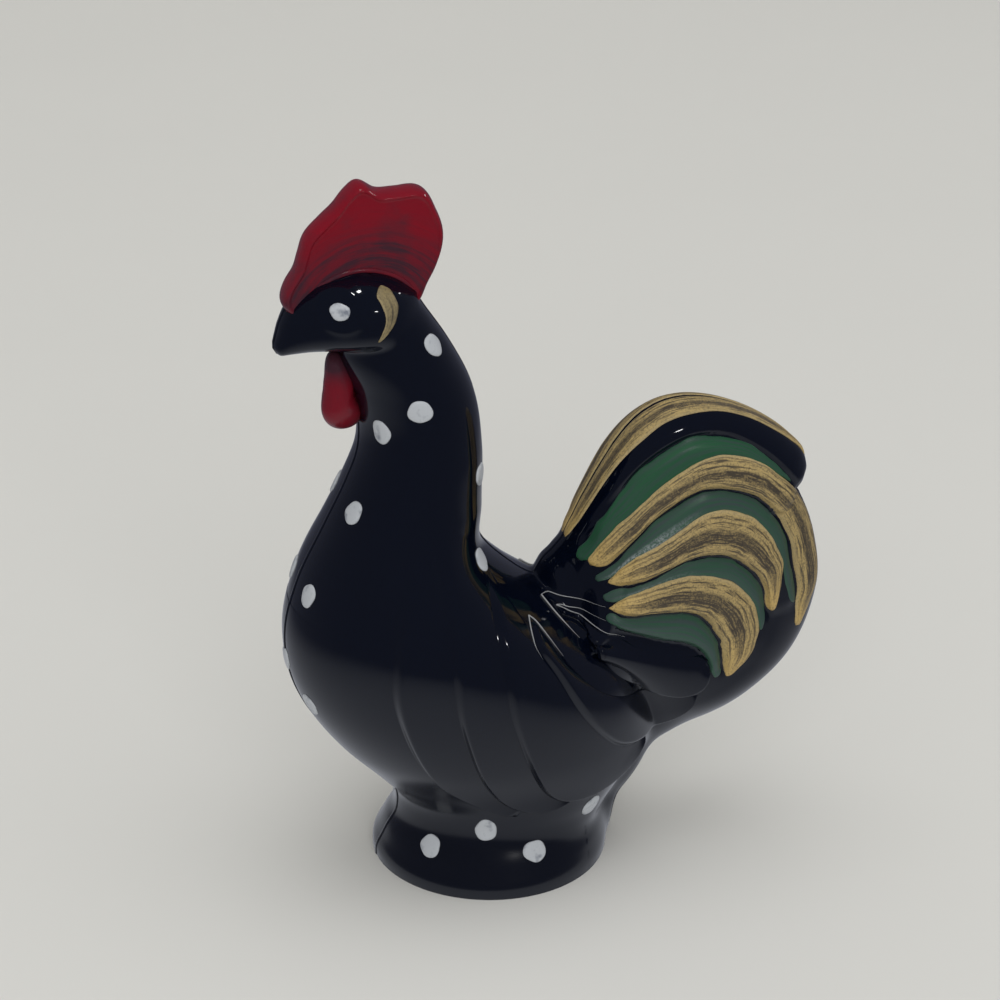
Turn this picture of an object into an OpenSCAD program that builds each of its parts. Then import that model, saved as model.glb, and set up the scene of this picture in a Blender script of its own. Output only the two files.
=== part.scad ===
// Pressed black glass rooster, a small figurine with fired enamel decoration.
// Frame: +Z up, the bird faces -X with its left flank towards -Y, and the
// origin is the middle of the flat foot. Lengths are millimetres.
// The casting comes out of a two-part mould, so each half is one height
// h(x, z) over the parting plane y = 0, and the glass fills |y| <= h(x, z).

/* [Foot] */
// Length of the flat foot, front to back
foot_d = 28.6; // [26:0.1:31]
// Width of the flat foot
foot_w = 29.4; // [27:0.1:32]
// Height of the foot's upright rim
foot_rim_h = 1.2; // [0.8:0.1:2]
// Height of the waist above the ground
waist_z = 7; // [6:0.1:8.5]
// Diameter of the waist
waist_d = 23; // [21:0.1:26]

/* [Body] */
// Width across the flanks
body_w = 33; // [28:0.1:38]
// Height of the widest part of the flanks
flank_z = 26; // [23:0.1:30]
// Reach of the breast in front of the foot's centre
breast_x = 25; // [22:0.1:28]
// Height of the breast's foremost point
breast_z = 32; // [29:0.1:35]
// Reach of the rump behind the foot's centre
rump_x = 19; // [17:0.1:21]
// Height of the rump's rearmost point
rump_z = 18; // [16:0.1:20]
// Distance of the saddle behind the foot's centre
saddle_x = 4.4; // [3.5:0.1:5.5]
// Height of the saddle between the neck and the tail
saddle_z = 38; // [37:0.1:39.5]

/* [Neck and head] */
// Height of the middle of the neck
neck_z = 55; // [53:0.1:57]
// Width of the neck
neck_w = 18; // [15:0.1:21]
// Distance of the throat in front of the foot's centre
throat_x = 15.8; // [14.5:0.1:17]
// Distance of the nape in front of the foot's centre
nape_x = 0.7; // [0:0.1:2]
// Height of the middle of the head
head_z = 71.5; // [70:0.1:73]
// Reach of the beak's tip in front of the foot's centre
beak_x = 25.4; // [23.5:0.1:27]
// Length of the head from the beak's tip
head_l = 20; // [18.5:0.1:21.5]
// Width of the head
head_w = 15; // [12:0.1:18]
// Height of the head
head_h = 12.3; // [11.3:0.1:13.3]

/* [Comb and wattle] */
// Distance of the comb's middle in front of the foot's centre
comb_x = 14; // [13:0.1:15]
// Height of the comb's middle over the head's
comb_up = 6.5; // [5.5:0.1:7.5]
// Reach of the comb's tallest point from its middle
comb_r = 10; // [9:0.1:11.5]
// Thickness of the comb
comb_t = 4.6; // [3.6:0.1:6]
// Width of the comb's rounded rim
comb_rim = 1.8; // [1:0.1:2.5]
// Distance of the wattle's middle in front of the foot's centre
wattle_x = 17.5; // [16.9:0.1:18.2]
// Height of the wattle's middle under the head's
wattle_drop = 9.8; // [9.1:0.1:10.5]
// Length of the wattle
wattle_l = 8.8; // [7.6:0.1:10]
// Breadth of the wattle, front to back
wattle_w = 5.6; // [4.4:0.1:6]
// Thickness of the wattle
wattle_t = 5; // [4:0.1:6]

/* [Tail] */
// Distance of the tail's root behind the foot's centre
tail_x = 10; // [9:0.1:11]
// Height of the tail's root
tail_z = 30; // [29:0.1:31]
// Reach of the tail from its root
tail_r = 32.2; // [29:0.1:36]
// Thickness of the tail at its root
tail_root_t = 18; // [15:0.1:21]
// Thickness of the tail at its rim
tail_rim_t = 8.4; // [6:0.1:11]
// Width of the tail's rounded edge
tail_edge = 6; // [4:0.1:8]

/* [Feathers] */
// Height of a wing feather's front edge over the body
wing_lift = 0.9; // [0.5:0.05:1.2]
// Height of a wing feather where the next one covers it
wing_min = 0.25; // [0.15:0.05:0.4]
// Height of a gold tail feather's crest
gold_lift = 0.6; // [0.3:0.05:0.9]
// Height of a green tail feather's crest
green_lift = 0.4; // [0.2:0.05:0.6]

/* [Enamel] */
// Thickness of the fired enamel
enamel_t = 0.25; // [0.15:0.01:0.4]
// Gap left between the facets of two surfaces
gap = 0.06; // [0.03:0.01:0.12]
// Diameter of a painted dot
dot_d = 2.8; // [2:0.1:3.4]
// Diameter of a painted eye
eye_d = 2.5; // [2:0.1:3]
// Width of the gold crescent behind the eye
ear_w = 1.8; // [1.2:0.1:2.2]

/* [Hidden] */

GLASS = [0.09, 0.1, 0.13];
RED = [0.55, 0.07, 0.1];
GOLD = [0.7, 0.58, 0.3];
GREEN = [0.12, 0.33, 0.23];
WHITE = [0.86, 0.87, 0.9];

foot_r = foot_d / 2;
waist_r = waist_d / 2;
crown_z = head_z + head_h / 2;
crown_x = comb_x - 3.2;
comb_z = head_z + comb_up;
wattle_z = head_z - wattle_drop;
// The waist is a little wider across than along, as the foot is
waist_half_w = waist_r + 0.3;
// The throat comes forward under the chin
chin_x = throat_x + 2.2;

// Columns of the casting's facets in front of its spine and behind it, and
// how far they crowd towards the outline
front_cols = 14;
back_cols = 18;
crowding = 0.85;

// Softness of the blends where the tail and the head leave the body
tail_blend = 0.27 * pow(tail_root_t / 2, 2);
head_blend = 0.14 * pow(head_w / 2, 2);
// How fast the neck closes inside the head
neck_close = 40;

function mix(a, b, t) = a + (b - a) * t;
function clamp(t, lo, hi) = max(lo, min(hi, t));

// A smooth curve v(t) through stations [t, v], straight beyond its ends
function span(t, s, i = 0) = i >= len(s) - 2 || t < s[i + 1][0] ? i : span(t, s, i + 1);
function chord(s, i) = (s[i + 1][1] - s[i][1]) / (s[i + 1][0] - s[i][0]);
function slope(s, i) =
    i == 0 ? chord(s, 0) :
    i == len(s) - 1 ? chord(s, i - 1) :
    let (a = s[i][0] - s[i - 1][0], b = s[i + 1][0] - s[i][0])
    (chord(s, i - 1) * b + chord(s, i) * a) / (a + b);
function hermite(v0, v1, m0, m1, u) =
    (1 + 2 * u) * (1 - u) * (1 - u) * v0 + u * (1 - u) * (1 - u) * m0
    + u * u * (3 - 2 * u) * v1 - u * u * (1 - u) * m1;
function curve(t, s) =
    let (i = span(t, s), d = s[i + 1][0] - s[i][0], u = (t - s[i][0]) / d)
    u < 0 ? s[i][1] + slope(s, i) * (t - s[i][0]) :
    u > 1 ? s[i + 1][1] + slope(s, i + 1) * (t - s[i + 1][0]) :
    hermite(s[i][1], s[i + 1][1], slope(s, i) * d, slope(s, i + 1) * d, u);

// One column of a table of stations, against the stations' numbers
function column(table, c) = [for (i = [0:len(table) - 1]) [i, table[i][c]]];
function along(table, u) = [for (c = [0:len(table[0]) - 1]) curve(u, column(table, c))];

// Stations between two named points: shares of the height, then of the reach
function between(z0, z1, v0, v1, shares) =
    [for (p = shares) [mix(z0, z1, p[0]), mix(v0, v1, p[1])]];

// Breast, back and half width of the body against the height
flare = [[0.24, 0.25], [0.52, 0.55], [0.79, 0.91], [1, 1]];
front_line = concat(
    [[0, -foot_r], [foot_rim_h, -foot_r]],
    between(foot_rim_h, waist_z, -foot_r, -waist_r, flare),
    between(waist_z, breast_z, -waist_r, -breast_x,
        [[0.09, 0.02], [0.2, 0.2], [0.4, 0.555], [0.68, 0.89], [1, 1]]),
    between(breast_z, neck_z, -breast_x, -throat_x, [[0.3, 0.18], [0.61, 0.56], [0.83, 0.84], [1, 1]]),
    between(neck_z, head_z, -throat_x, -chin_x, [[0.25, -0.1], [0.5, 0.3], [0.75, 0.9], [1, 1]]));
back_line = concat(
    [[0, foot_r], [foot_rim_h, foot_r]],
    between(foot_rim_h, rump_z, foot_r, rump_x,
        [[0.1, -0.08], [0.2, -0.2], [0.31, 0.02], [0.48, 0.45], [0.73, 1.08], [1, 1.08]]),
    between(rump_z, saddle_z, rump_x, saddle_x, [[0.45, 0.2], [0.75, 0.62], [1, 1.06]]),
    between(saddle_z, neck_z, saddle_x, -nape_x, [[0.24, 0.96], [0.59, 1.1], [1, 1.08]]),
    between(neck_z, crown_z, -nape_x, -crown_x, [[0.31, 0.14], [0.57, 0.42], [0.84, 0.8], [1, 1]]));
width_line = concat(
    [[0, foot_w / 2], [foot_rim_h, foot_w / 2]],
    between(foot_rim_h, waist_z, foot_w / 2, waist_half_w, flare),
    between(waist_z, flank_z, waist_half_w, body_w / 2, [[0.1, 0.04], [0.25, 0.2], [0.55, 0.68], [1, 1]]),
    between(flank_z, neck_z, body_w / 2, neck_w / 2, [[0.2, 0.04], [0.44, 0.36], [0.69, 0.75], [1, 1]]),
    between(neck_z, crown_z, neck_w / 2, 3, [[0.31, 0.13], [0.57, 0.27], [0.84, 0.6], [1, 1]]));

// Head against its length: shares of the squared half width, then the middle
// line, the reach over it and the reach under it as shares of the height
head_swell = [[-0.08, -0.2], [0, 0], [0.03, 0.045], [0.07, 0.1], [0.17, 0.27], [0.32, 0.58], [0.52, 0.95],
    [0.66, 0.82], [0.78, 0.35], [0.88, -0.3], [1.03, -1.2]];
head_line = [[0, -0.19], [0.03, -0.15], [0.07, -0.08], [0.17, 0.01], [0.32, 0.06], [0.52, 0.09],
    [0.72, 0.05], [1, -0.15]];
head_over = [[0, 0.07], [0.03, 0.15], [0.07, 0.23], [0.17, 0.32], [0.32, 0.4], [0.52, 0.43], [0.72, 0.37],
    [0.9, 0.25], [1, 0.2]];
head_under = [[0, 0.08], [0.03, 0.15], [0.07, 0.21], [0.17, 0.27], [0.32, 0.3], [0.52, 0.33],
    [0.72, 0.35], [1, 0.35]];
// Roundness of the head's sections over the middle line, and of the squarer jaw
brow_power = 2;
jaw_power = 3.4;

// Outlines around the roots of the tail, the comb and the wattle:
// angle from the +X axis, then the share of the reach
tail_outline = [[-81, 0.79], [-78, 0.77], [-74, 0.74], [-68, 0.7], [-60, 0.66], [-53, 0.675], [-46, 0.7],
    [-40, 0.735], [-28, 0.82], [-14, 0.925], [0, 0.98], [14, 0.99], [24.5, 0.985], [27.2, 0.985],
    [28.8, 1.04], [32, 1.068], [37, 1.062], [44, 1.04], [52, 1.006], [58, 0.975], [63, 0.94], [68, 0.883],
    [72, 0.806], [75, 0.715], [78.5, 0.585], [84, 0.445], [90, 0.362], [100, 0.3], [112, 0.265]];
// The tail thins to a fin above the foot, and towards its front edge
tail_thin = [[-85, 0.25], [-66, 0.3], [-52, 0.6], [-38, 1], [0, 1], [45, 1], [66, 0.82], [84, 0.62],
    [115, 0.6]];
comb_outline = [[-90, 0.5], [-45, 0.74], [-20, 0.72], [-3, 0.78], [25, 0.94], [38, 0.99], [54, 1.06],
    [68, 0.94], [84, 0.89], [97, 1], [105, 0.94], [117, 0.84], [133, 0.81], [153, 0.84], [169, 0.84],
    [182, 0.89], [192, 1.02], [200, 1.1], [207, 1.08], [225, 0.8], [270, 0.5]];
wattle_outline = [[-90, 0.87], [-45, 0.97], [0, 0.62], [50, 0.6], [80, 0.85], [103, 1.11], [135, 0.76],
    [180, 0.8], [230, 0.95], [270, 0.87]];

// Squared height of each form over the parting plane, below zero outside it
function body_q(x, z) =
    let (f = curve(z, front_line), b = curve(z, back_line), w = max(0.3, curve(z, width_line)),
        t = (2 * x - f - b) / max(1, b - f))
    w * w * (1 - t * t) - neck_close * pow(max(0, z - head_z - head_h / 4), 2);
function head_q(x, z) =
    let (u = (x + beak_x) / head_l, w = curve(u, head_swell), d = (z - head_z) / head_h - curve(u, head_line),
        h = max(0.03, curve(u, d > 0 ? head_over : head_under)),
        e = pow(abs(d) / h, d > 0 ? brow_power : jaw_power))
    u > 1.03 ? -50 : pow(head_w / 2, 2) * (w - max(0.05, w) * e);
function tail_q(x, z) =
    let (d = norm([x - tail_x, z - tail_z]), a = atan2(z - tail_z, x - tail_x),
        edge = tail_r * curve(clamp(a, -81, 115), tail_outline),
        t = mix(tail_root_t, tail_rim_t, clamp(d / tail_r, 0, 1.1)) / 2 * curve(a, tail_thin),
        e = 1 - min(1, (edge - d) / tail_edge))
    a < -90 || a > 125 ? -50 : t * t * (1 - e * e);
// Angle from the +X axis, counted from -90 to 270
function turn(dx, dz) = let (a = atan2(dz, dx)) a < -90 ? a + 360 : a;
function comb_q(x, z) =
    let (dx = x + comb_x, dz = z - comb_z, t = comb_t / 2,
        e = 1 - min(1, (comb_r * curve(turn(dx, dz), comb_outline) - norm([dx, dz])) / comb_rim))
    t * t * (1 - e * e);
function wattle_edge(a) =
    curve(a, wattle_outline) / norm([2 * cos(a) / wattle_w, 2 * sin(a) / wattle_l]);
function wattle_q(x, z) =
    let (dx = x + wattle_x, dz = z - wattle_z, t = wattle_t / 2,
        e = norm([dx, dz]) / wattle_edge(turn(dx, dz)))
    t * t * (1 - e * e);
function blend(a, b, k) = (a + b + sqrt((a - b) * (a - b) + k * k)) / 2;
function bare_q(x, z) = blend(blend(body_q(x, z), tail_q(x, z), tail_blend), head_q(x, z), head_blend);

// Height of the glass over the parting plane
function height(x, z) = sqrt(max(0, bare_q(x, z)));

// Spine of the casting: x, z, the directions of its ribs to the back and to
// the front, and the rows up to the next station. The ribs turn so that none
// leaves the outline and returns.
function neck_mid(z) = (curve(z, front_line) + curve(z, back_line)) / 2;
spine = concat(
    [[0, 0, 0, 180, 1], [0.5, foot_rim_h, 0, 180, 4], [1, waist_z - 1, -3, 180, 4]],
    [for (s = [[-7, 0.18, -14, 3], [-4, 0.43, -26, 3], [-1.5, 0.65, -30, 3], [0, 0.83, -22, 4]])
        [tail_x + s[0], mix(waist_z, tail_z, s[1]), s[2], 180, s[3]]],
    [[tail_x + 0.8, tail_z - 0.5, 0, 180, 6], [tail_x + 0.2, tail_z + 2.5, 30, 180, 6],
        [tail_x - 1.7, tail_z + 5, 62, 180, 14]],
    [[saddle_x + 0.9, saddle_z - 1.7, 88, 180, 7], [saddle_x - 2.9, saddle_z + 0.3, 50, 180, 5]],
    [for (s = [[0.24, 15, 4], [0.6, 0, 3], [1, 0, 3]])
        let (z = mix(saddle_z, neck_z, s[0])) [neck_mid(z), z, s[1], 180, s[2]]],
    [for (s = [[0.3, 180, 3], [0.48, 186, 3], [0.6, 194, 3], [0.68, 196, 4], [0.75, 188, 3], [0.81, 180, 3]])
        let (z = mix(neck_z, crown_z, s[0])) [neck_mid(z), z, 0, s[1], s[2]]],
    [[-crown_x - 2.5, head_z + 0.4 * head_h, 15, 170, 2],
        [-crown_x - 3.5, head_z + 0.48 * head_h, 35, 150, 1]]);
stations = [for (i = [0:len(spine) - 1], k = [0:spine[i][4] - 1])
    if (i < len(spine) - 1 || k == 0) i + k / spine[i][4]];

// Length of a rib from the spine to the outline, by steps and then by halving
function leave(o, d, t = 0) =
    t > 70 || bare_q(o[0] + d[0] * t, o[1] + d[1] * t) < 0 ? t : leave(o, d, t + 1);
function halve(o, d, lo, hi, n) =
    n == 0 ? lo :
    let (m = (lo + hi) / 2)
    bare_q(o[0] + d[0] * m, o[1] + d[1] * m) > 0 ? halve(o, d, m, hi, n - 1) : halve(o, d, lo, m, n - 1);
function rib(o, d) = let (t = leave(o, d)) halve(o, d, max(0, t - 1), t, 12);

function crowd(t) = mix(t, sin(90 * t), crowding);

// One ring of the casting: the near half from breast to back, then the far half
function ring(s) =
    let (o = [s[0], s[1]], db = [cos(s[2]), sin(s[2])], df = [cos(s[3]), sin(s[3])],
        lb = rib(o, db), lf = rib(o, df),
        line = concat(
            [for (i = [0:front_cols - 1]) o + df * lf * crowd(1 - i / front_cols)],
            [for (i = [0:back_cols]) o + db * lb * crowd(i / back_cols)]),
        last = len(line) - 1,
        h = [for (i = [0:last]) i == 0 || i == last ? 0 : max(0.05, height(line[i][0], line[i][1]))])
    concat(
        [for (i = [0:last]) [line[i][0], -h[i], line[i][1]]],
        [for (i = [last - 1:-1:1]) [line[i][0], h[i], line[i][1]]]);

// Closed skin over rings of points that run anticlockwise seen from the next
// ring, with each end closed by a strip from one side of the ring to the other
function strip(m) =
    [for (j = [0:m / 2 - 2]) each [[j, j + 1, m - 2 - j], [j, m - 2 - j, m - 1 - j]]];
module skin(rings) {
    n = len(rings);
    m = len(rings[0]);
    sides = [for (i = [0:n - 2], j = [0:m - 1])
        let (k = (j + 1) % m, a = i * m, b = a + m)
        each [[a + j, b + j, b + k], [a + j, b + k, a + k]]];
    top = (n - 1) * m;
    polyhedron(
        points = [for (r = rings) each r],
        faces = concat(sides, strip(m), [for (t = strip(m)) [top + t[0], top + t[2], top + t[1]]]));
}

// Point and outward normal of the near half at a place of the parting plane
function near_point(p) = [p[0], -height(p[0], p[1]), p[1]];
function near_normal(p) =
    let (s = 0.1,
        hx = (height(p[0] + s, p[1]) - height(p[0] - s, p[1])) / (2 * s),
        hz = (height(p[0], p[1] + s) - height(p[0], p[1] - s)) / (2 * s))
    [-hx, -1, -hz] / norm([hx, 1, hz]);
function lifted(p, by) = near_point(p) + near_normal(p) * by;

// Brush stroke laid on the near half along places [x, z, half width], with
// its crest standing higher than its edges
module stroke(points, crest, steps = 14, cols = 4) {
    rings = [for (i = [0:steps])
        let (u = i / steps * (len(points) - 1), p = along(points, u),
            a = along(points, max(0, u - 0.05)), b = along(points, min(len(points) - 1, u + 0.05)),
            d = [b[0] - a[0], b[1] - a[1]], side = [-d[1], d[0]] / norm(d),
            row = [for (j = [0:cols]) [p[0], p[1]] + side * p[2] * (1 - 2 * j / cols)])
        concat(
            [for (j = [0:cols]) lifted(row[j], gap + mix(enamel_t, crest, sin(180 * j / cols)))],
            [for (j = [cols:-1:0]) lifted(row[j], gap)])];
    skin(rings);
}

// Squared distance measure that is zero on the smooth glass, and its slope
function depth(p) = bare_q(p[0], p[2]) - p[1] * p[1];
function depth_slope(p) =
    let (s = 0.05)
    [for (d = [[s, 0, 0], [0, s, 0], [0, 0, s]]) (depth(p + d) - depth(p - d)) / (2 * s)];
function settle(p, n, k = 3) =
    k == 0 ? p : settle(p - n * (depth(p) / (depth_slope(p) * n)), n, k - 1);

// Round spot of enamel settled on the smooth glass, at a place that may lie
// off the surface: wide across the parting plane's X, tall along the other way
module spot(place, wide, tall, sides = 12) {
    g = depth_slope(place);
    n = -g / norm(g);
    c = settle(place, n);
    e1 = cross(n, abs(n[2]) < 0.9 ? [0, 0, 1] : [1, 0, 0]);
    across = e1 / norm(e1);
    up = cross(n, across);
    rim = [for (i = [0:sides - 1])
        settle(c + across * cos(360 * i / sides) * wide / 2 + up * sin(360 * i / sides) * tall / 2, n)];
    skin([[for (p = rim) p + n * gap], [for (p = rim) p + n * (gap + enamel_t)]]);
}

// Dots at places [x, z, y] in hundredths of a reach from an origin [x, z]; y
// is how far out on both flanks to look for the glass
module dots(places, origin, reach) {
    for (p = places / 100, side = p[2] == 0 ? [1] : [-1, 1])
        spot([origin[0] + p[0] * reach, side * p[2] * reach, origin[1] + p[1] * reach], dot_d, dot_d);
}

// Red forms along rays [origin, direction] of the parting plane. Each ring runs
// from where the form comes out of the glass on the far side, over its rim, to
// the near side, and back along the glass.
least_q = 0.3;
seat = 0.25;
function at(ray, t) = ray[0] + ray[1] * t;
function rim_end(ray, form, lo, hi, n = 14) =
    n == 0 ? lo :
    let (m = (lo + hi) / 2, p = at(ray, m))
    form(p[0], p[1]) > 0 ? rim_end(ray, form, m, hi, n - 1) : rim_end(ray, form, lo, m, n - 1);
function emerge(ray, form, lo, hi, n = 14) =
    n == 0 ? hi :
    let (m = (lo + hi) / 2, p = at(ray, m))
    form(p[0], p[1]) > max(least_q, bare_q(p[0], p[1])) ? emerge(ray, form, lo, m, n - 1)
        : emerge(ray, form, m, hi, n - 1);
function red_ring(o, d, inside, form, cols) =
    let (ray = [o, d],
        start = emerge(ray, form, 0, inside) + seat,
        end = rim_end(ray, form, inside, 2 * inside),
        row = [for (j = [-cols:cols])
            let (p = at(ray, mix(start, end, sin(90 * (1 - abs(j) / cols)))))
            [p[0], -sign(j) * sqrt(max(0, form(p[0], p[1]))), p[1]]],
        back = [for (j = [2 * cols - 1:-1:1])
            let (y = row[0][1] * (1 - j / cols),
                buried = function (x, z) bare_q(x, z) - y * y,
                p = at(ray, seat + rim_end(ray, buried, 0, start)))
            [p[0], y, p[1]]])
    concat(row, back);

module glass_body() {
    color(GLASS) skin([for (u = stations) ring(along(spine, u))]);
}

// Rays from inside the head, from the forehead round to the nape
comb_from = 179;
comb_to = 3.5;
comb_rows = 44;
comb_cols = 5;
comb_drop = 4;
module comb() {
    form = function (x, z) comb_q(x, z);
    color(RED) skin([for (i = [0:comb_rows])
        let (a = mix(comb_from, comb_to, i / comb_rows),
            o = [-comb_x, comb_z - comb_drop],
            d = [cos(a), sin(a)])
        red_ring(o, d, rim_end([o, d], form, 0, 2 * comb_r) - comb_rim / 2, form, comb_cols)]);
}

// Level rays from inside the neck, from the wattle's tip up to the chin
wattle_from = -0.41;
wattle_to = 0.42;
wattle_rows = 22;
wattle_cols = 7;
module wattle() {
    form = function (x, z) wattle_q(x, z);
    color(RED) skin([for (i = [0:wattle_rows])
        let (z = wattle_z + wattle_l * mix(wattle_from, wattle_to, i / wattle_rows), x = neck_mid(z))
        red_ring([x, z], [-1, 0], x + wattle_x, form, wattle_cols)]);
}

// Edges of the wing feathers from the shoulder to the tips, in hundredths of
// the breast's reach and of the height from the waist to the saddle
wing_edges = [for (e = [
    [[-42, 132], [-55.5, 109], [-61, 81], [-56, 53], [-34, 24], [-9, 10]],
    [[-37, 126], [-36, 107], [-34, 74], [-27, 48], [-13, 24], [11, 10]],
    [[-15, 101], [-9, 73], [-2, 48], [12, 26], [30.5, 15.5], [48, 16]],
    [[6, 90], [9.5, 81], [16, 70], [27, 56], [40.5, 40], [56, 29.5], [70, 28.5]],
    [[17, 88], [31, 79], [42.5, 69], [55.5, 59], [73, 48], [90, 43]],
    [[30, 85], [48, 79], [67, 72], [83, 65], [93, 57], [97, 49]]])
    [for (p = e) [p[0] * breast_x / 100, mix(waist_z, saddle_z, p[1] / 100)]]];
wing_rows = 16;
wing_cols = 3;
// Share of a feather's width taken by the step up to the next one
riser = 0.07;

// Share of a feather's length over which it rises at the shoulder
shoulder = 0.25;

// One row across the feathers, from the back to the front: x, z and height
function wing_row(u) =
    let (ends = [for (e = wing_edges) along(e, u * (len(e) - 1))],
        lift = mix(wing_min, wing_lift, min(1, u / shoulder)))
    [for (k = [len(ends) - 2:-1:0], j = [wing_cols:-1:0])
        let (v = j / wing_cols)
        concat(mix(ends[k], ends[k + 1], v * (1 - riser)), [mix(lift, wing_min, v)])];

// The far side repeats the near side, turned over at the parting plane
module sided(side) {
    if (side == "left") children();
    else mirror([0, 1, 0]) children();
}

module wing(side) {
    color(GLASS) sided(side) skin([for (i = [0:wing_rows])
        let (row = wing_row(i / wing_rows))
        concat(
            [for (p = row) lifted(p, gap + p[2])],
            [for (j = [len(row) - 1:-1:0]) lifted(row[j], gap)])]);
}

eye_place = [-beak_x + 6.9, -5, head_z + 2.9];
module eye(side) {
    color(WHITE) sided(side) spot(eye_place, eye_d, eye_d * 0.8);
}

// Crescent behind the eye, from under the comb to the jaw
ear_points = [for (p = [[0.58, 0.43, 0.55], [0.605, 0.36, 1], [0.63, 0.26, 1], [0.61, 0.13, 0.75],
    [0.57, 0.04, 0.5], [0.54, -0.02, 0.2]])
    [-beak_x + p[0] * head_l, head_z + p[1] * head_h, p[2] * ear_w / 2]];
module ear(side) {
    color(GOLD) sided(side) stroke(ear_points, enamel_t, 10, 3);
}

// Strokes of the tail: place and half width in hundredths of the tail's reach
gold_strokes = [
    [[4, 28, 1.3], [11.8, 34.6, 3.7], [26.6, 48.1, 3.8], [40, 56.5, 4.9], [52.6, 59.6, 6.2], [67.8, 55, 6.2],
        [80, 44, 5.6], [87, 31, 4.8], [90, 16, 4.8], [90, 1.5, 3.8], [87, -10, 1]],
    [[10, 22, 0.9], [16.8, 24.2, 3.4], [29.6, 29.5, 5.2], [42, 34.6, 6.8], [52.7, 36.2, 8.7], [64, 31.8, 8.4],
        [71.8, 22.8, 6.4], [75.8, 12, 4.1], [75.5, 0.5, 1.1]],
    [[9.2, 12.6, 0.9], [15.5, 13.3, 3], [27, 14.5, 5.8], [41, 14, 7.5], [51.5, 9.8, 8.5], [58.5, 2.2, 8.8],
        [62, -7.5, 8], [60.5, -16.5, 5.2], [57, -23.8, 1]]];
green_strokes = [
    [[0.8, 28.6, 1], [9.3, 42.4, 2], [18.5, 53, 3.6], [31, 63.3, 4.1], [44, 69.6, 3.8], [59, 68.9, 2.3],
        [72.6, 61.8, 0.9], [81, 53.8, 0.4]],
    [[7, 24, 0.6], [15.4, 29.8, 1.2], [31, 41, 3.6], [46.4, 48.8, 3.5], [59.3, 47.9, 2.9], [73.8, 37.5, 2.5],
        [80.8, 24, 1.7], [82, 9, 0.9]],
    [[8, 17.4, 0.6], [18.6, 19.6, 0.9], [36.4, 23.9, 1.5], [49.5, 23.7, 3], [60.5, 18.8, 3.2],
        [68.2, 10.4, 2.7], [72.3, -2, 1]],
    [[8.5, 10.2, 0.6], [13.8, 7.3, 2], [24.5, 3.2, 4.2], [36, 0.6, 5.1], [43.8, -3, 4.8], [49.5, -9.8, 3],
        [52.8, -20.5, 1]]];
function tail_point(p) = [tail_x + p[0] * tail_r / 100, tail_z + p[1] * tail_r / 100];
module tail_stroke(points, crest, side) {
    sided(side) stroke([for (p = points) concat(tail_point(p), [p[2] * tail_r / 100])], crest);
}
// The first gold feather lies along the tail's edge, from the parting plane
// outwards: angle around the root and breadth across the edge
crest_from = 92;
crest_to = 33;
crest_rows = 18;
crest_cols = 3;
crest_breadth = 0.72;
// Share of the breadth left at the tips and at the seam, and how far forward
// the feather is broadest
crest_tip = 0.35;
crest_seam = 0.05;
crest_skew = 0.7;
// Clearance over the glass, which curves inwards at the tail's front
crest_gap = tail_r / 240;
function crest_point(a, y, by) =
    let (d = [cos(a), sin(a)], ray = [[tail_x, tail_z] + d * tail_r / 8, d],
        p = at(ray, rim_end(ray, function (x, z) bare_q(x, z) - y * y, 0, tail_r)),
        g = depth_slope([p[0], y, p[1]]))
    [p[0], y, p[1]] - g / norm(g) * by;
module tail_crest(side) {
    sided(side) skin([for (i = [0:crest_rows])
        let (u = i / crest_rows,
            a = mix(crest_from, crest_to, u),
            taper = mix(crest_tip, 1, sqrt(sin(180 * pow(u, crest_skew)))),
            breadth = crest_breadth * tail_rim_t / 2 * taper,
            row = [for (j = [0:crest_cols]) -mix(crest_seam, 1, j / crest_cols) * breadth])
        concat([for (y = row) crest_point(a, y, crest_gap + enamel_t)],
            [for (j = [crest_cols:-1:0]) crest_point(a, row[j], crest_gap)])]);
}
module tail_gold(k, side) {
    color(GOLD) if (k == 1) tail_crest(side);
    else tail_stroke(gold_strokes[k - 2], gold_lift, side);
}
module tail_green(k, side) {
    color(GREEN) tail_stroke(green_strokes[k - 1], green_lift, side);
}

module neck_dots() {
    color(WHITE) dots([[-39, 80, 30], [-52, 41, 45], [-74, 23, 30], [-9, -14, 28], [-8, -70, 39]],
        [-nape_x, neck_z], neck_w);
}
module breast_dots() {
    color(WHITE) dots([[30, 68, 18], [8, 27, 16], [8, -31, 17], [0, -13, 0]],
        [-breast_x, breast_z], breast_x);
}
module foot_dots() {
    color(WHITE) dots([[-66, -15, 56], [-22, 6, 77], [18, -15, 87], [73, 11, 67]],
        [0, waist_z], foot_r);
}

glass_body();
comb();
wattle();
for (side = ["left", "right"]) {
    wing(side);
    eye(side);
    ear(side);
    for (k = [1:4]) {
        tail_gold(k, side);
        tail_green(k, side);
    }
}
neck_dots();
breast_dots();
foot_dots();
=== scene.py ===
"""Pressed black glass rooster with fired enamel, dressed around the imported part.

Frame: +Z up, the bird faces -X with its left flank towards -Y, and the origin is the middle of the
flat foot. Every shape is worked out in millimetres over the mould's parting plane y = 0 and goes
into its mesh in metres.
"""

import logging
import math
from abc import ABC, abstractmethod
from collections.abc import Callable
from dataclasses import dataclass
from enum import Enum, auto

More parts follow.
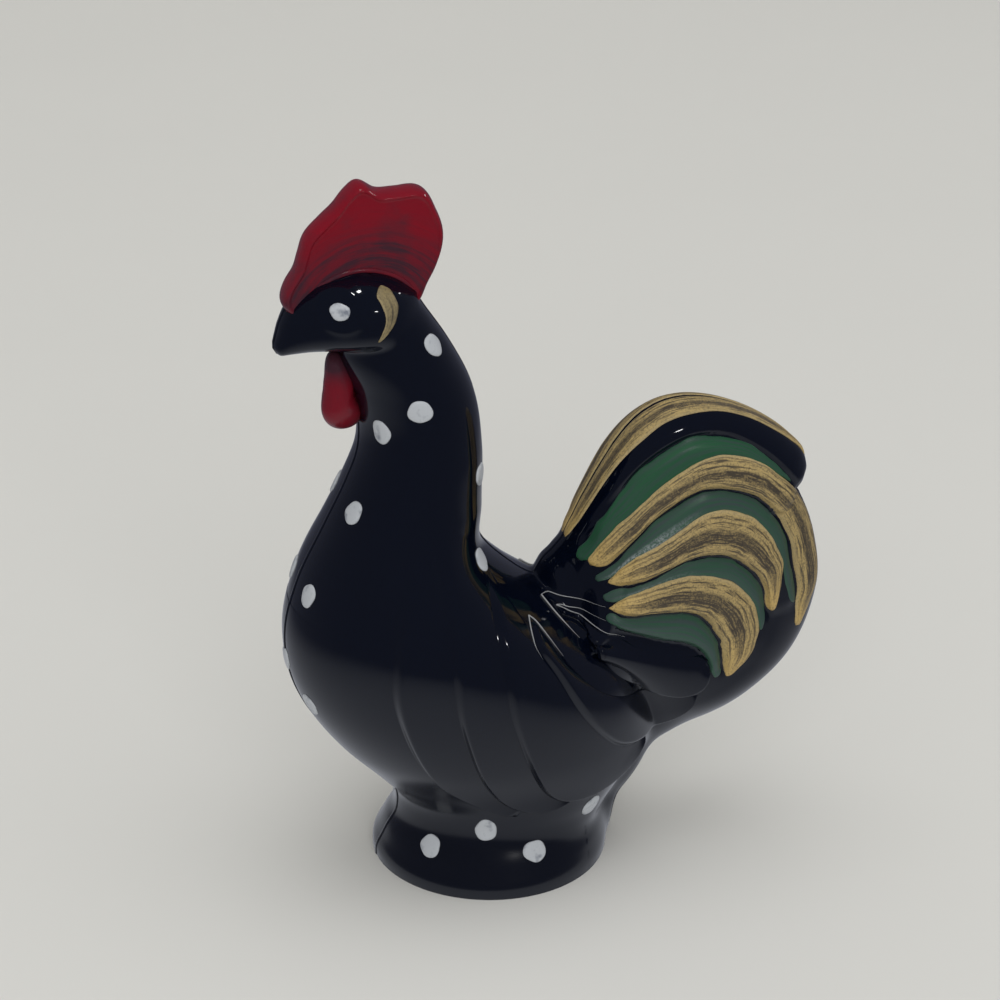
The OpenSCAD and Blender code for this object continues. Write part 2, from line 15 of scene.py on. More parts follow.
import bpy
import numpy as np
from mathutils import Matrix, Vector


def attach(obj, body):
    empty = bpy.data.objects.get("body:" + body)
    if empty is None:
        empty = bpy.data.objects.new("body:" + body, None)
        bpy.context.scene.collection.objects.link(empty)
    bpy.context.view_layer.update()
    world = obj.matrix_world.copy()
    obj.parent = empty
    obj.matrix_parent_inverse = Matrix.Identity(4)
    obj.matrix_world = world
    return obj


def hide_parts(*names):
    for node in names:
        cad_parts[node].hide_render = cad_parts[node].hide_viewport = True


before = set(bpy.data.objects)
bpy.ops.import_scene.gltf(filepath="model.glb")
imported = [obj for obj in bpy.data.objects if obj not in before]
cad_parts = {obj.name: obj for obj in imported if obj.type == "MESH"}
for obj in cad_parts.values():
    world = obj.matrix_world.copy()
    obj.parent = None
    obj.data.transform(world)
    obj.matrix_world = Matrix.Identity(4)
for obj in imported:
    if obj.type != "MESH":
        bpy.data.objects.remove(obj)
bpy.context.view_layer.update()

LOG = logging.getLogger("rooster")
MM = 0.001
MM_PER_M = 1000.0
MM_PER_UV = 10.0
HALVINGS = 24
BEAD_SIDES = 8
# Squared half width that is far outside every form
OUTSIDE = -50.0
MIRROR = np.array([1, -1, 1])
IOR = 1.5
FLAKE_SCALE = 4200.0
# What the camera and the lamps look at, and what the narrow lamp looks at, in metres
TARGET = (0.0015, 0.0, 0.0463)
HEAD = (-0.0165, -0.001, 0.079)

Array = np.ndarray
Stations = tuple[tuple[float, ...], ...]
Colour = tuple[float, float, float]
Place = tuple[float, float, float]
Span = tuple[float, float]


class Side(Enum):
    """A flank of the bird, with the sign of its Y."""

    LEFT = -1
    RIGHT = 1

    @property
    def label(self) -> str:
        """The word that the node names use."""
        return self.name.lower()


class Line:
    """Smooth curve v(t) through given stations, straight beyond both ends.

    Between stations it is a cubic Hermite whose slopes are weighted chords. The curve is then
    averaged over a few offsets, so that reflections run over it without a break.
    """

    TAPS = np.array([-3, -2, -1, 0, 1, 2, 3]) / 3
    WEIGHTS = np.array([1, 4, 8, 10, 8, 4, 1]) / 36

    def __init__(self, stations: Stations, soft: float) -> None:
        """Keeps the stations and their slopes.

        Args:
            stations: Pairs of t and v, with t rising.
            soft: Half width of the averaging, in units of t.
        """
        table = np.array(stations, float)
        self.t, self.v = table[:, 0], table[:, 1]
        self.soft = soft
        step = np.diff(self.t)
        chord = np.diff(self.v) / step
        inner = (chord[:-1] * step[1:] + chord[1:] * step[:-1]) / (step[1:] + step[:-1])
        self.slope = np.concatenate([chord[:1], inner, chord[-1:]])

    def _raw(self, at: Array) -> Array:
        """The Hermite itself, with straight ends."""
        i = np.clip(np.searchsorted(self.t, at, "right") - 1, 0, len(self.t) - 2)
        step = self.t[i + 1] - self.t[i]
        u = np.clip((at - self.t[i]) / step, 0, 1)
        value = (
            (1 + 2 * u) * (1 - u) ** 2 * self.v[i]
            + u * (1 - u) ** 2 * self.slope[i] * step
            + u**2 * (3 - 2 * u) * self.v[i + 1]
            - u**2 * (1 - u) * self.slope[i + 1] * step
        )
        below = np.minimum(at - self.t[0], 0) * self.slope[0]
        above = np.maximum(at - self.t[-1], 0) * self.slope[-1]
        return value + below + above

    def __call__(self, at: Array) -> Array:
        """Values of the averaged curve at an array of t."""
        return sum(w * self._raw(at + k * self.soft) for k, w in zip(self.TAPS, self.WEIGHTS))

    def held(self, at: Array) -> Array:
        """Values with t held between the first and the last station."""
        return self(np.clip(at, self.t[0], self.t[-1]))


class Path:
    """Smooth run of table columns against a share u of the way from first to last station."""

    SOFT = 0.3
    FINE = 600

    def __init__(self, stations: Stations | Array) -> None:
        """Makes one curve for each column of the table."""
        table = np.array(stations, float)
        self.last = len(table) - 1
        number = np.arange(len(table))
        self.columns = [Line(tuple(zip(number, column)), self.SOFT) for column in table.T]

    def __call__(self, u: Array) -> Array:
        """Rows of the table at shares u, as an array of len(u) by columns."""
        return np.stack([line(u * self.last) for line in self.columns], -1)

    def even(self, count: int) -> Array:
        """Points at equal steps of the way along, from the first two columns."""
        fine = self(np.linspace(0, 1, self.FINE))[:, :2]
        way = run_length(fine)
        at = np.linspace(0, way[-1], count)
        return np.stack([np.interp(at, way, column) for column in fine.T], -1)


def run_length(points: Array) -> Array:
    """Length of the way from the first point to each point."""
    return np.concatenate([[0], np.cumsum(np.linalg.norm(np.diff(points, axis=0), axis=1))])


def unit(vectors: Array) -> Array:
    """Vectors brought to length one."""
    return vectors / np.linalg.norm(vectors, axis=-1, keepdims=True)


def mix(a: Array | float, b: Array | float, t: Array | float) -> Array | float:
    """Straight mix of a and b, a at t = 0 and b at t = 1."""
    return a + (b - a) * t


def ease(lo: float, hi: float, t: Array) -> Array:
    """Smooth step from 0 at lo to 1 at hi."""
    u = np.clip((t - lo) / (hi - lo), 0, 1)
    return u * u * (3 - 2 * u)


def soft_max(a: Array, b: Array, k: float) -> Array:
    """The larger of two fields, rounded where they meet: half of a + b + root((a - b)^2 + k^2)."""
    return (a + b + np.sqrt((a - b) ** 2 + k * k)) / 2


def last_inside(inside: Callable[[Array], Array], lo: Array, hi: Array) -> Array:
    """The places between lo and hi where a test turns from true to false, by halving.

    Args:
        inside: The test, on an array of places.
        lo: Places where it is true.
        hi: Places where it is false.

    Returns:
        The last places where it is true.
    """
    for _ in range(HALVINGS):
        middle = (lo + hi) / 2
        holds = inside(middle)
        lo, hi = np.where(holds, middle, lo), np.where(holds, hi, middle)
    return lo


def signed_distance(x: Array, z: Array, line: Array) -> tuple[Array, Array]:
    """Distance of points to a bent line, positive to the left of its run.

    Args:
        x: Points' x.
        z: Points' z.
        line: Corners of the line, two columns.

    Returns:
        The distance, and the share of the way along the line of the nearest place.
    """
    best = np.full(x.shape, np.inf)
    where = np.zeros(x.shape)
    for i, (a, b) in enumerate(zip(line[:-1], line[1:])):
        run = b - a
        t = np.clip(((x - a[0]) * run[0] + (z - a[1]) * run[1]) / (run @ run), 0, 1)
        dx, dz = x - a[0] - t * run[0], z - a[1] - t * run[1]
        left = np.where(run[0] * dz - run[1] * dx < 0, -1.0, 1.0)
        d = np.hypot(dx, dz)
        near = d < np.abs(best)
        best = np.where(near, left * d, best)
        where = np.where(near, (i + t) / (len(line) - 1), where)
    return best, where


def shown(name: str, data: bpy.types.ID) -> bpy.types.Object:
    """A new object of the scene, at the origin."""
    made = bpy.data.objects.new(name, data)
    bpy.context.scene.collection.objects.link(made)
    return made


def smooth_mesh(name: str, points: Array, faces: Array, finish: bpy.types.Material) -> bpy.types.Mesh:
    """A new smooth mesh from points in metres, with its finish."""
    mesh = bpy.data.meshes.new(name)
    mesh.from_pydata(points.tolist(), [], faces.tolist())
    mesh.polygons.foreach_set("use_smooth", np.ones(len(faces), bool))
    mesh.materials.append(finish)
    return mesh


@dataclass
class Skin:
    """A closed mesh: points in millimetres, faces of four corners, and a UV and perhaps a normal a point."""

    points: Array
    faces: Array
    uv: Array
    normals: Array | None = None

    @staticmethod
    def from_rings(rings: Array, uv: Array | None = None, normals: Array | None = None) -> "Skin":
        """Covers rings of points, each closed on itself, and closes both ends by a strip.

        Args:
            rings: Points, number of rings by points in a ring by three.
            uv: A UV pair for each point, or nothing.
            normals: A normal for each point, or nothing.

        Returns:
            The skin, with its faces pointing outwards.
        """
        n, m, _ = rings.shape
        i, j = np.meshgrid(np.arange(n - 1), np.arange(m), indexing="ij")
        a, k = i * m, (j + 1) % m
        around = np.stack([a + j, a + m + j, a + m + k, a + k], -1).reshape(-1, 4)
        c = np.arange(m // 2 - 1)
        strip = np.stack([c, c + 1, m - 2 - c, m - 1 - c], -1)
        far = (n - 1) * m + strip[:, ::-1]
        points = rings.reshape(-1, 3)
        faces = np.concatenate([around, strip, far])
        p = points[faces]
        area = np.cross(p[:, 1], p[:, 2]) + np.cross(p[:, 2], p[:, 3])
        faces = faces if np.sum(p[:, 0] * area) > 0 else faces[:, ::-1]
        flat = np.zeros((len(points), 2)) if uv is None else uv.reshape(-1, 2)
        return Skin(points, faces, flat, None if normals is None else normals.reshape(-1, 3))

    @staticmethod
    def slab(upper: Array, lower: Array, uv: Array | None = None) -> "Skin":
        """A closed sheet between two faces that are grids of points, with the same UV on both."""
        both = None if uv is None else np.concatenate([uv, uv[:, ::-1]], 1)
        return Skin.from_rings(np.concatenate([upper, lower[:, ::-1]], 1), both)

    @staticmethod
    def bead(way: Array, out: Array, high: Array | float, wide: Array | float) -> "Skin":
        """A fine ridge: an oval section carried along a line.

        Args:
            way: Points of the line.
            out: Unit normals of the glass at these points.
            high: Half height of the section along the normal.
            wide: Half width of the section.

        Returns:
            The ridge, closed at both ends and sunk to half of its section.
        """
        side = unit(np.cross(np.gradient(way, axis=0), out))
        turn = np.linspace(0, 2 * np.pi, BEAD_SIDES, endpoint=False)
        c, s = np.cos(turn)[None, :, None], np.sin(turn)[None, :, None]
        h, w = [np.broadcast_to(k, len(way))[:, None, None] for k in (high, wide)]
        rings = way[:, None] + out[:, None] * c * h + side[:, None] * s * w
        normals = unit(out[:, None] * c * w + side[:, None] * s * h)
        return Skin.from_rings(rings, normals=normals)

    @staticmethod
    def join(skins: list["Skin"]) -> "Skin":
        """One skin from several, with normals where all of them have some."""
        start = np.cumsum([0] + [len(s.points) for s in skins[:-1]])
        whole = all(s.normals is not None for s in skins)
        return Skin(
            np.concatenate([s.points for s in skins]),
            np.concatenate([s.faces + k for s, k in zip(skins, start)]),
            np.concatenate([s.uv for s in skins]),
            np.concatenate([s.normals for s in skins]) if whole else None,
        )

    def flipped(self) -> "Skin":
        """The same skin on the other side of the parting plane."""
        normals = None if self.normals is None else self.normals * MIRROR
        return Skin(self.points * MIRROR, self.faces[:, ::-1], self.uv, normals)

    def on(self, side: Side) -> "Skin":
        """A skin made for the left flank, on one of the flanks."""
        return self if side is Side.LEFT else self.flipped()

    def placed(self, name: str, node: str, slot: str, finish: bpy.types.Material) -> None:
        """Makes the Blender object at the origin, dresses it and sets it on the body.

        Args:
            name: Name of the piece.
            node: The CAD node that it stands for.
            slot: The record's material slot. Not used.
            finish: The material.
        """
        mesh = smooth_mesh(name, self.points * MM, self.faces, finish)
        corners = np.empty(len(mesh.loops), np.int32)
        mesh.loops.foreach_get("vertex_index", corners)
        layer = mesh.uv_layers.new(name="Brush")
        layer.data.foreach_set("uv", self.uv[corners].astype(np.float32).ravel())
        mesh.update()
        if self.normals is not None:
            mesh.normals_split_custom_set_from_vertices(self.normals.tolist())
        piece = shown(name, mesh)
        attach(piece, "root")
        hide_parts(node)
        LOG.info("%s: %d faces", name, len(self.faces))


@dataclass
class Casting:
    """The glass: foot, body, neck, head and tail fan as heights over the parting plane.

    Each form is a squared half width q(x, z), below zero outside it. The glass fills
    y^2 <= q, so its normal runs along (-dq/dx, 2 y, -dq/dz).
    """

    # Over z: the breast's x, the back's x and the half width across
    front: Stations = (
        (0, -14.3), (1.2, -14.3), (2.6, -13.6), (4.2, -12.76), (5.8, -11.75), (7, -11.5), (9.25, -11.77),
        (12, -14.2), (17, -19), (24, -23.5), (32, -25), (38.9, -23.35), (46, -19.85), (51.1, -17.3),
        (55, -15.8), (59.1, -15.6), (63.25, -16.5), (67.4, -17.8), (71.5, -18))
    back: Stations = (
        (0, 14.3), (1.2, 14.3), (2.9, 13.9), (4.6, 13.4), (6.4, 14.4), (9.3, 16.4), (13.5, 19.4),
        (18, 19.4), (27, 16.1), (33, 9.5), (38, 2.8), (42.1, -1), (48, -1.2), (55, -1.1), (62, -2.1),
        (67.9, -4.9), (74, -8.8), (77.6, -10.8))
    flank: Stations = (
        (0, 14.7), (1.2, 14.7), (2.6, 14), (4.2, 13.1), (5.8, 12.06), (7, 11.8), (8.9, 12), (11.8, 12.7),
        (17.5, 15), (26, 16.5), (31.8, 16.2), (38.8, 13.8), (46, 10.9), (55, 9), (62, 8.2), (67.9, 7.4),
        (74, 5.4), (77.6, 3))
    body_soft: float = 0.7
    # Least half width and length of a section, and how fast the neck closes inside the head
    least_w: float = 0.3
    least_l: float = 1.0
    neck_close: float = 40.0
    beak_x: float = -25.4
    head_l: float = 20.0
    head_w: float = 15.0
    head_h: float = 12.3
    head_z: float = 71.5
    head_end: float = 1.03
    # Along the head: squared half width, middle line, reach over it and under it
    swell: Stations = (
        (-0.08, -0.2), (0, 0), (0.03, 0.045), (0.07, 0.1), (0.17, 0.27), (0.32, 0.58), (0.52, 0.95),
        (0.66, 0.82), (0.78, 0.35), (0.88, -0.3), (1.03, -1.2))
    middle: Stations = (
        (0, -0.19), (0.03, -0.15), (0.07, -0.08), (0.17, 0.01), (0.32, 0.06), (0.52, 0.09), (0.72, 0.05),
        (1, -0.15))
    brow: Stations = (
        (0, 0.07), (0.03, 0.15), (0.07, 0.23), (0.17, 0.32), (0.32, 0.4), (0.52, 0.43), (0.72, 0.37),
        (0.9, 0.25), (1, 0.2))
    jaw: Stations = (
        (0, 0.08), (0.03, 0.15), (0.07, 0.21), (0.17, 0.27), (0.32, 0.3), (0.52, 0.33), (0.72, 0.35),
        (1, 0.35))
    swell_soft: float = 0.02
    head_soft: float = 0.03
    least_swell: float = 0.05
    least_reach: float = 0.03
    brow_power: float = 2.0
    jaw_power: float = 3.4
    # Half of the height over which the brow's section turns into the jaw's
    jaw_turn: float = 0.06
    tail_x: float = 10.0
    tail_z: float = 30.0
    tail_r: float = 32.2
    tail_root_t: float = 18.0
    tail_rim_t: float = 8.4
    tail_edge: float = 6.0
    # Share of the reach up to which the tail thins, and the angles between which it lies
    tail_past: float = 1.1
    tail_span: Span = (-90.0, 170.0)
    # Over the angle round the tail's root: reach of the outline, and thickness, as shares
    tail_outline: Stations = (
        (-81, 0.79), (-78, 0.77), (-74, 0.74), (-68, 0.7), (-60, 0.66), (-53, 0.675), (-46, 0.7),
        (-40, 0.735), (-28, 0.82), (-14, 0.925), (0, 0.98), (14, 0.99), (24.5, 0.985), (27.2, 0.985),
        (28.8, 1.04), (32, 1.068), (37, 1.062), (44, 1.04), (52, 1.006), (58, 0.975), (63, 0.94),
        (68, 0.883), (72, 0.806), (75, 0.715), (78.5, 0.585), (84, 0.445), (90, 0.362), (100, 0.3),
        (112, 0.265), (125, 0.215), (140, 0.14), (160, 0.06))
    tail_thin: Stations = (
        (-85, 0.25), (-66, 0.3), (-52, 0.6), (-38, 1), (0, 1), (45, 1), (66, 0.82), (84, 0.62), (115, 0.6))
    outline_soft: float = 1.0
    thin_soft: float = 6.0
    tail_blend: float = 21.9
    head_blend: float = 7.9
    # Spine of the skin: x, z, direction of the ribs to the back and to the front, rows to the next station
    spine: Stations = (
        (0, 0, 0, 180, 6), (0.5, 1.2, 0, 180, 18), (1, 6, -3, 180, 12), (3, 11.1, -14, 180, 14),
        (6, 16.9, -26, 180, 14), (8.5, 21.9, -30, 180, 14), (10, 26.1, -22, 180, 20),
        (10.8, 29.5, 0, 180, 30), (10.2, 32.5, 30, 180, 38), (8.3, 35, 62, 180, 60),
        (5, 35.6, 88, 180, 34), (0.8, 37.6, 50, 180, 18), (-9.4, 42.1, 15, 180, 16),
        (-9.6, 48.2, 0, 180, 14), (-8.4, 55, 0, 180, 12), (-9.1, 61.8, 0, 180, 12),
        (-10.6, 65.9, 0, 186, 12), (-11.6, 68.6, 0, 194, 10), (-12.2, 70.4, 0, 196, 10),
        (-12.8, 72, 0, 188, 10), (-13.2, 73.4, 0, 180, 14), (-13.3, 76.4, 15, 170, 8),
        (-14.3, 77.4, 35, 150, 1))
    front_cols: int = 48
    back_cols: int = 72
    crowding: float = 0.85
    rib_reach: float = 60.0
    rib_step: float = 0.25
    # Reach of the differences that give the slopes of the glass and of its relief
    probe: float = 0.06
    relief_probe: float = 0.08
    settle_rounds: int = 4
    # Steps between the tail's feathers in hundredths of its reach from its root
    steps: tuple[Stations, ...] = (
        ((-1.1, 28.5), (3.9, 37.4), (11.6, 50.1), (22.9, 63.2), (35, 70.9), (46.5, 73.7), (59.6, 71.3),
         (73.6, 62.2), (83.1, 51.7), (89, 44)),
        ((6.1, 26.3), (13.7, 30.8), (23.7, 40.4), (35.8, 48.8), (45.2, 53), (52, 53.3), (60.4, 51.3),
         (70.1, 46.4), (76.7, 39.1), (81.7, 30.3), (83.9, 20.2), (86.5, 7.5), (86.3, -9)),
        ((9.6, 21.2), (17.8, 20.9), (29.7, 23.9), (42.1, 27.6), (50, 27.5), (58.7, 24.9), (66.8, 18.3),
         (71.9, 10.5), (73.4, 2), (74.5, -4)),
        ((9.3, 12.4), (15, 10), (29.7, 8), (38.2, 6.6), (44.6, 4), (49, 0.3), (52.4, -5.5), (54, -9.3),
         (55, -15.5), (56.5, -25)),
        ((6.7, 8.7), (15.2, 3.1), (29.9, -3.5), (38.3, -6.2), (43.4, -8.9), (47.7, -13.6), (50.7, -22)),
    )
    step_points: int = 41
    # Shares of a step's line over which it fades in and out
    step_starts: Span = (0.01, 0.12)
    step_ends: Span = (0.9, 1.0)
    # Corner of the region that the steps reach, from the tail's root
    step_region: Span = (-10.0, -18.0)
    lip: float = 0.45
    lip_w: float = 4.5
    lip_rise: Span = (-0.1, 0.5)
    lip_end: Span = (6.0, 9.0)
    trough: float = 0.35
    trough_in: float = 0.25
    trough_w: float = 0.8
    eye_ring: tuple[float, float, float] = (-18.6, 74.5, 2.2)
    ring_lift: float = 0.12
    ring_w: float = 0.5
    seam_h: float = 0.1
    seam_w: float = 0.3
    seam_floor: float = 0.02

    def __post_init__(self) -> None:
        """Makes the curves once."""
        self.front_line = Line(self.front, self.body_soft)
        self.back_line = Line(self.back, self.body_soft)
        self.flank_line = Line(self.flank, self.body_soft)
        self.swell_line = Line(self.swell, self.swell_soft)
        self.middle_line = Line(self.middle, self.head_soft)
        self.brow_line = Line(self.brow, self.head_soft)
        self.jaw_line = Line(self.jaw, self.head_soft)
        self.outline = Line(self.tail_outline, self.outline_soft)
        self.thin_line = Line(self.tail_thin, self.thin_soft)
        u = np.linspace(0, 1, self.step_points)
        self.step_lines = [self.from_root(Path(stations)(u)) for stations in self.steps]

    def from_root(self, hundredths: Stations | Array) -> Array:
        """Places in the parting plane, from hundredths of the tail's reach."""
        return np.array([self.tail_x, self.tail_z]) + np.array(hundredths, float) * self.tail_r / 100

    def body_q(self, x: Array, z: Array) -> Array:
        """Elliptic sections between the breast line and the back line, closed inside the head."""
        f, b = self.front_line(z), self.back_line(z)
        w = np.maximum(self.flank_line(z), self.least_w)
        t = (2 * x - f - b) / np.maximum(b - f, self.least_l)
        over = np.maximum(z - self.head_z - self.head_h / 4, 0)
        return w * w * (1 - t * t) - self.neck_close * over**2

    def head_q(self, x: Array, z: Array) -> Array:
        """Flat-sided sections along the head, from the beak's tip to behind the ears.

        With d the height over the middle line, as a share of the brow's or the jaw's reach, the
        squared half width is swell * (1 - d^power), with a power of its own for brow and jaw.
        """
        u = (x - self.beak_x) / self.head_l
        wide = self.swell_line(u)
        d = (z - self.head_z) / self.head_h - self.middle_line(u)
        up = ease(-self.jaw_turn, self.jaw_turn, d)
        reach = np.maximum(mix(self.jaw_line(u), self.brow_line(u), up), self.least_reach)
        power = mix(self.jaw_power, self.brow_power, up)
        q = wide - np.maximum(wide, self.least_swell) * np.abs(d / reach) ** power
        return np.where(u > self.head_end, OUTSIDE, (self.head_w / 2) ** 2 * q)

    def tail_q(self, x: Array, z: Array) -> Array:
        """A slab that thins from the root to the rim, with a round edge along its outline."""
        dx, dz = x - self.tail_x, z - self.tail_z
        d = np.hypot(dx, dz)
        a = np.degrees(np.arctan2(dz, dx))
        edge = self.tail_r * self.outline.held(a)
        t = mix(self.tail_root_t, self.tail_rim_t, np.clip(d / self.tail_r, 0, self.tail_past)) / 2
        t = t * self.thin_line.held(a)
        e = 1 - np.minimum((edge - d) / self.tail_edge, 1)
        first, last = self.tail_span
        return np.where((a < first) | (a > last), OUTSIDE, t * t * (1 - e * e))

    def q(self, x: Array, z: Array) -> Array:
        """Squared half width of the whole casting."""
        trunk = soft_max(self.body_q(x, z), self.tail_q(x, z), self.tail_blend)
        return soft_max(trunk, self.head_q(x, z), self.head_blend)

    @staticmethod
    def slopes(
        field: Callable[[Array, Array], Array], x: Array, z: Array, reach: float
    ) -> tuple[Array, Array]:
        """Slopes of a field along x and z, by differences over a short reach to both sides."""
        along = (field(x + reach, z) - field(x - reach, z)) / (2 * reach)
        up = (field(x, z + reach) - field(x, z - reach)) / (2 * reach)
        return along, up

    def normal(self, p: Array) -> Array:
        """Outward unit normals at points on the glass."""
        qx, qz = self.slopes(self.q, p[..., 0], p[..., 2], self.probe)
        return unit(np.stack([-qx, 2 * p[..., 1], -qz], -1))

    def relief(self, x: Array, z: Array) -> Array:
        """Moulded relief along the normal: the tail's feathers and the ring round each eye.

        On the outer side of each step line the feather stands up by a lip that falls as
        exp(-d / w), and along the line's inner side lies a trough, exp(-(d / w)^2). Both fade at
        the line's ends.
        """
        total = np.zeros(np.shape(x))
        region_x, region_z = self.step_region
        tail = (x > self.tail_x + region_x) & (z > self.tail_z + region_z)
        for line in self.step_lines:
            d, u = signed_distance(x[tail], z[tail], line)
            fade = ease(*self.step_starts, u) * (1 - ease(*self.step_ends, u))
            fall = np.exp(-np.maximum(d, 0) / self.lip_w) * (1 - ease(*self.lip_end, d))
            down = np.exp(-(((d + self.trough_in) / self.trough_w) ** 2))
            total[tail] += fade * (self.lip * ease(*self.lip_rise, d) * fall - self.trough * down)
        ring_x, ring_z, ring_r = self.eye_ring
        d = np.hypot(x - ring_x, z - ring_z) - ring_r
        return total + self.ring_lift * np.exp(-((d / self.ring_w) ** 2))

    def ribs(self, o: Array, angle: Array) -> tuple[Array, Array]:
        """Directions of ribs and their lengths to the outline, by steps and then by halving.

        Args:
            o: Start of each rib, x and z.
            angle: Direction of each rib in degrees.

        Returns:
            Unit directions, and lengths to where q falls to zero.
        """
        d = np.stack([np.cos(np.radians(angle)), np.sin(np.radians(angle))], -1)
        t = np.arange(0, self.rib_reach, self.rib_step)
        x, z = [o[:, None, k] + d[:, None, k] * t for k in (0, 1)]
        first = np.argmax(self.q(x, z) < 0, axis=1)
        lo, hi = t[np.maximum(first - 1, 0)], t[first]
        return d, last_inside(lambda m: self.q(o[:, 0] + d[:, 0] * m, o[:, 1] + d[:, 1] * m) > 0, lo, hi)

    def on_glass(self, flat: Array, over: Array | float) -> Array:
        """Points of the left flank over places of the parting plane.

        Args:
            flat: Places' x and z.
            over: Height over the moulded surface along the normal.

        Returns:
            Points, with y below zero.
        """
        x, z = flat[..., 0], flat[..., 1]
        base = np.stack([x, -np.sqrt(np.maximum(self.q(x, z), 0)), z], -1)
        return base + self.normal(base) * (self.relief(x, z) + over)[..., None]

    def settle(self, p: Array, n: Array) -> Array:
        """Moves points along one direction until they lie on the smooth glass, by Newton's rule."""
        for _ in range(self.settle_rounds):
            x, y, z = p[..., 0], p[..., 1], p[..., 2]
            qx, qz = self.slopes(self.q, x, z, self.probe)
            rate = qx * n[0] - 2 * y * n[1] + qz * n[2]
            p = p - n * ((self.q(x, z) - y**2) / rate)[..., None]
        return p

    def crowd(self, t: Array) -> Array:
        """Shares of a rib, drawn together towards the outline."""
        return mix(t, np.sin(np.pi / 2 * t), self.crowding)

    def skin(self) -> Skin:
        """The whole casting as rings from the foot to the crown, near half and then far half.

        Shading normals are those of the smooth glass less the relief's slope along the surface.
        """
        rows = np.array([station[4] for station in self.spine], int)
        last = len(rows) - 1
        u = np.concatenate([i + np.arange(k) / k for i, k in enumerate(rows[:-1])] + [[last]])
        s = Path(self.spine)(u / last)
        o = s[:, :2]
        t_fore = 1 - np.arange(self.front_cols) / self.front_cols
        t_back = np.arange(self.back_cols + 1) / self.back_cols
        halves = []
        for angle, t in ((s[:, 3], t_fore), (s[:, 2], t_back)):
            d, long = self.ribs(o, angle)
            halves.append(o[:, None] + d[:, None] * (long[:, None] * self.crowd(t))[..., None])
        flat = np.concatenate(halves, 1)
        x, z = flat[..., 0], flat[..., 1]
        h = np.sqrt(np.maximum(self.q(x, z), 0))
        h[:, [0, -1]] = 0
        base = np.stack([x, -h, z], -1)
        n = self.normal(base)
        n[:, [0, -1], 1] = 0
        n = unit(n)
        rx, rz = self.slopes(self.relief, x, z, self.relief_probe)
        pull = np.stack([rx, np.zeros(x.shape), rz], -1)
        pull -= n * np.sum(pull * n, -1, keepdims=True)
        near = base + n * self.relief(x, z)[..., None]
        near[:, [0, -1], 1] = 0
        near[..., 2] = np.maximum(near[..., 2], 0)
        rings, normals = [np.concatenate([k, (k * MIRROR)[:, -2:0:-1]], 1) for k in (near, unit(n - pull))]
        return Skin.join([Skin.from_rings(rings, normals=normals), self.seam(near, n)])

    def seam(self, near: Array, n: Array) -> Skin:
        """The fine bead that the mould's joint leaves round the outline, from every second ring.

        Args:
            near: Points of the near half, whose first and last columns lie on the joint.
            n: Normals at these points.

        Returns:
            The bead.
        """
        way, out = [np.concatenate([k[::2, 0], k[::-2, -1]]) for k in (near, n)]
        bead = Skin.bead(way, out, self.seam_h, self.seam_w)
        bead.points[:, 2] = np.maximum(bead.points[:, 2], self.seam_floor)
        return bead


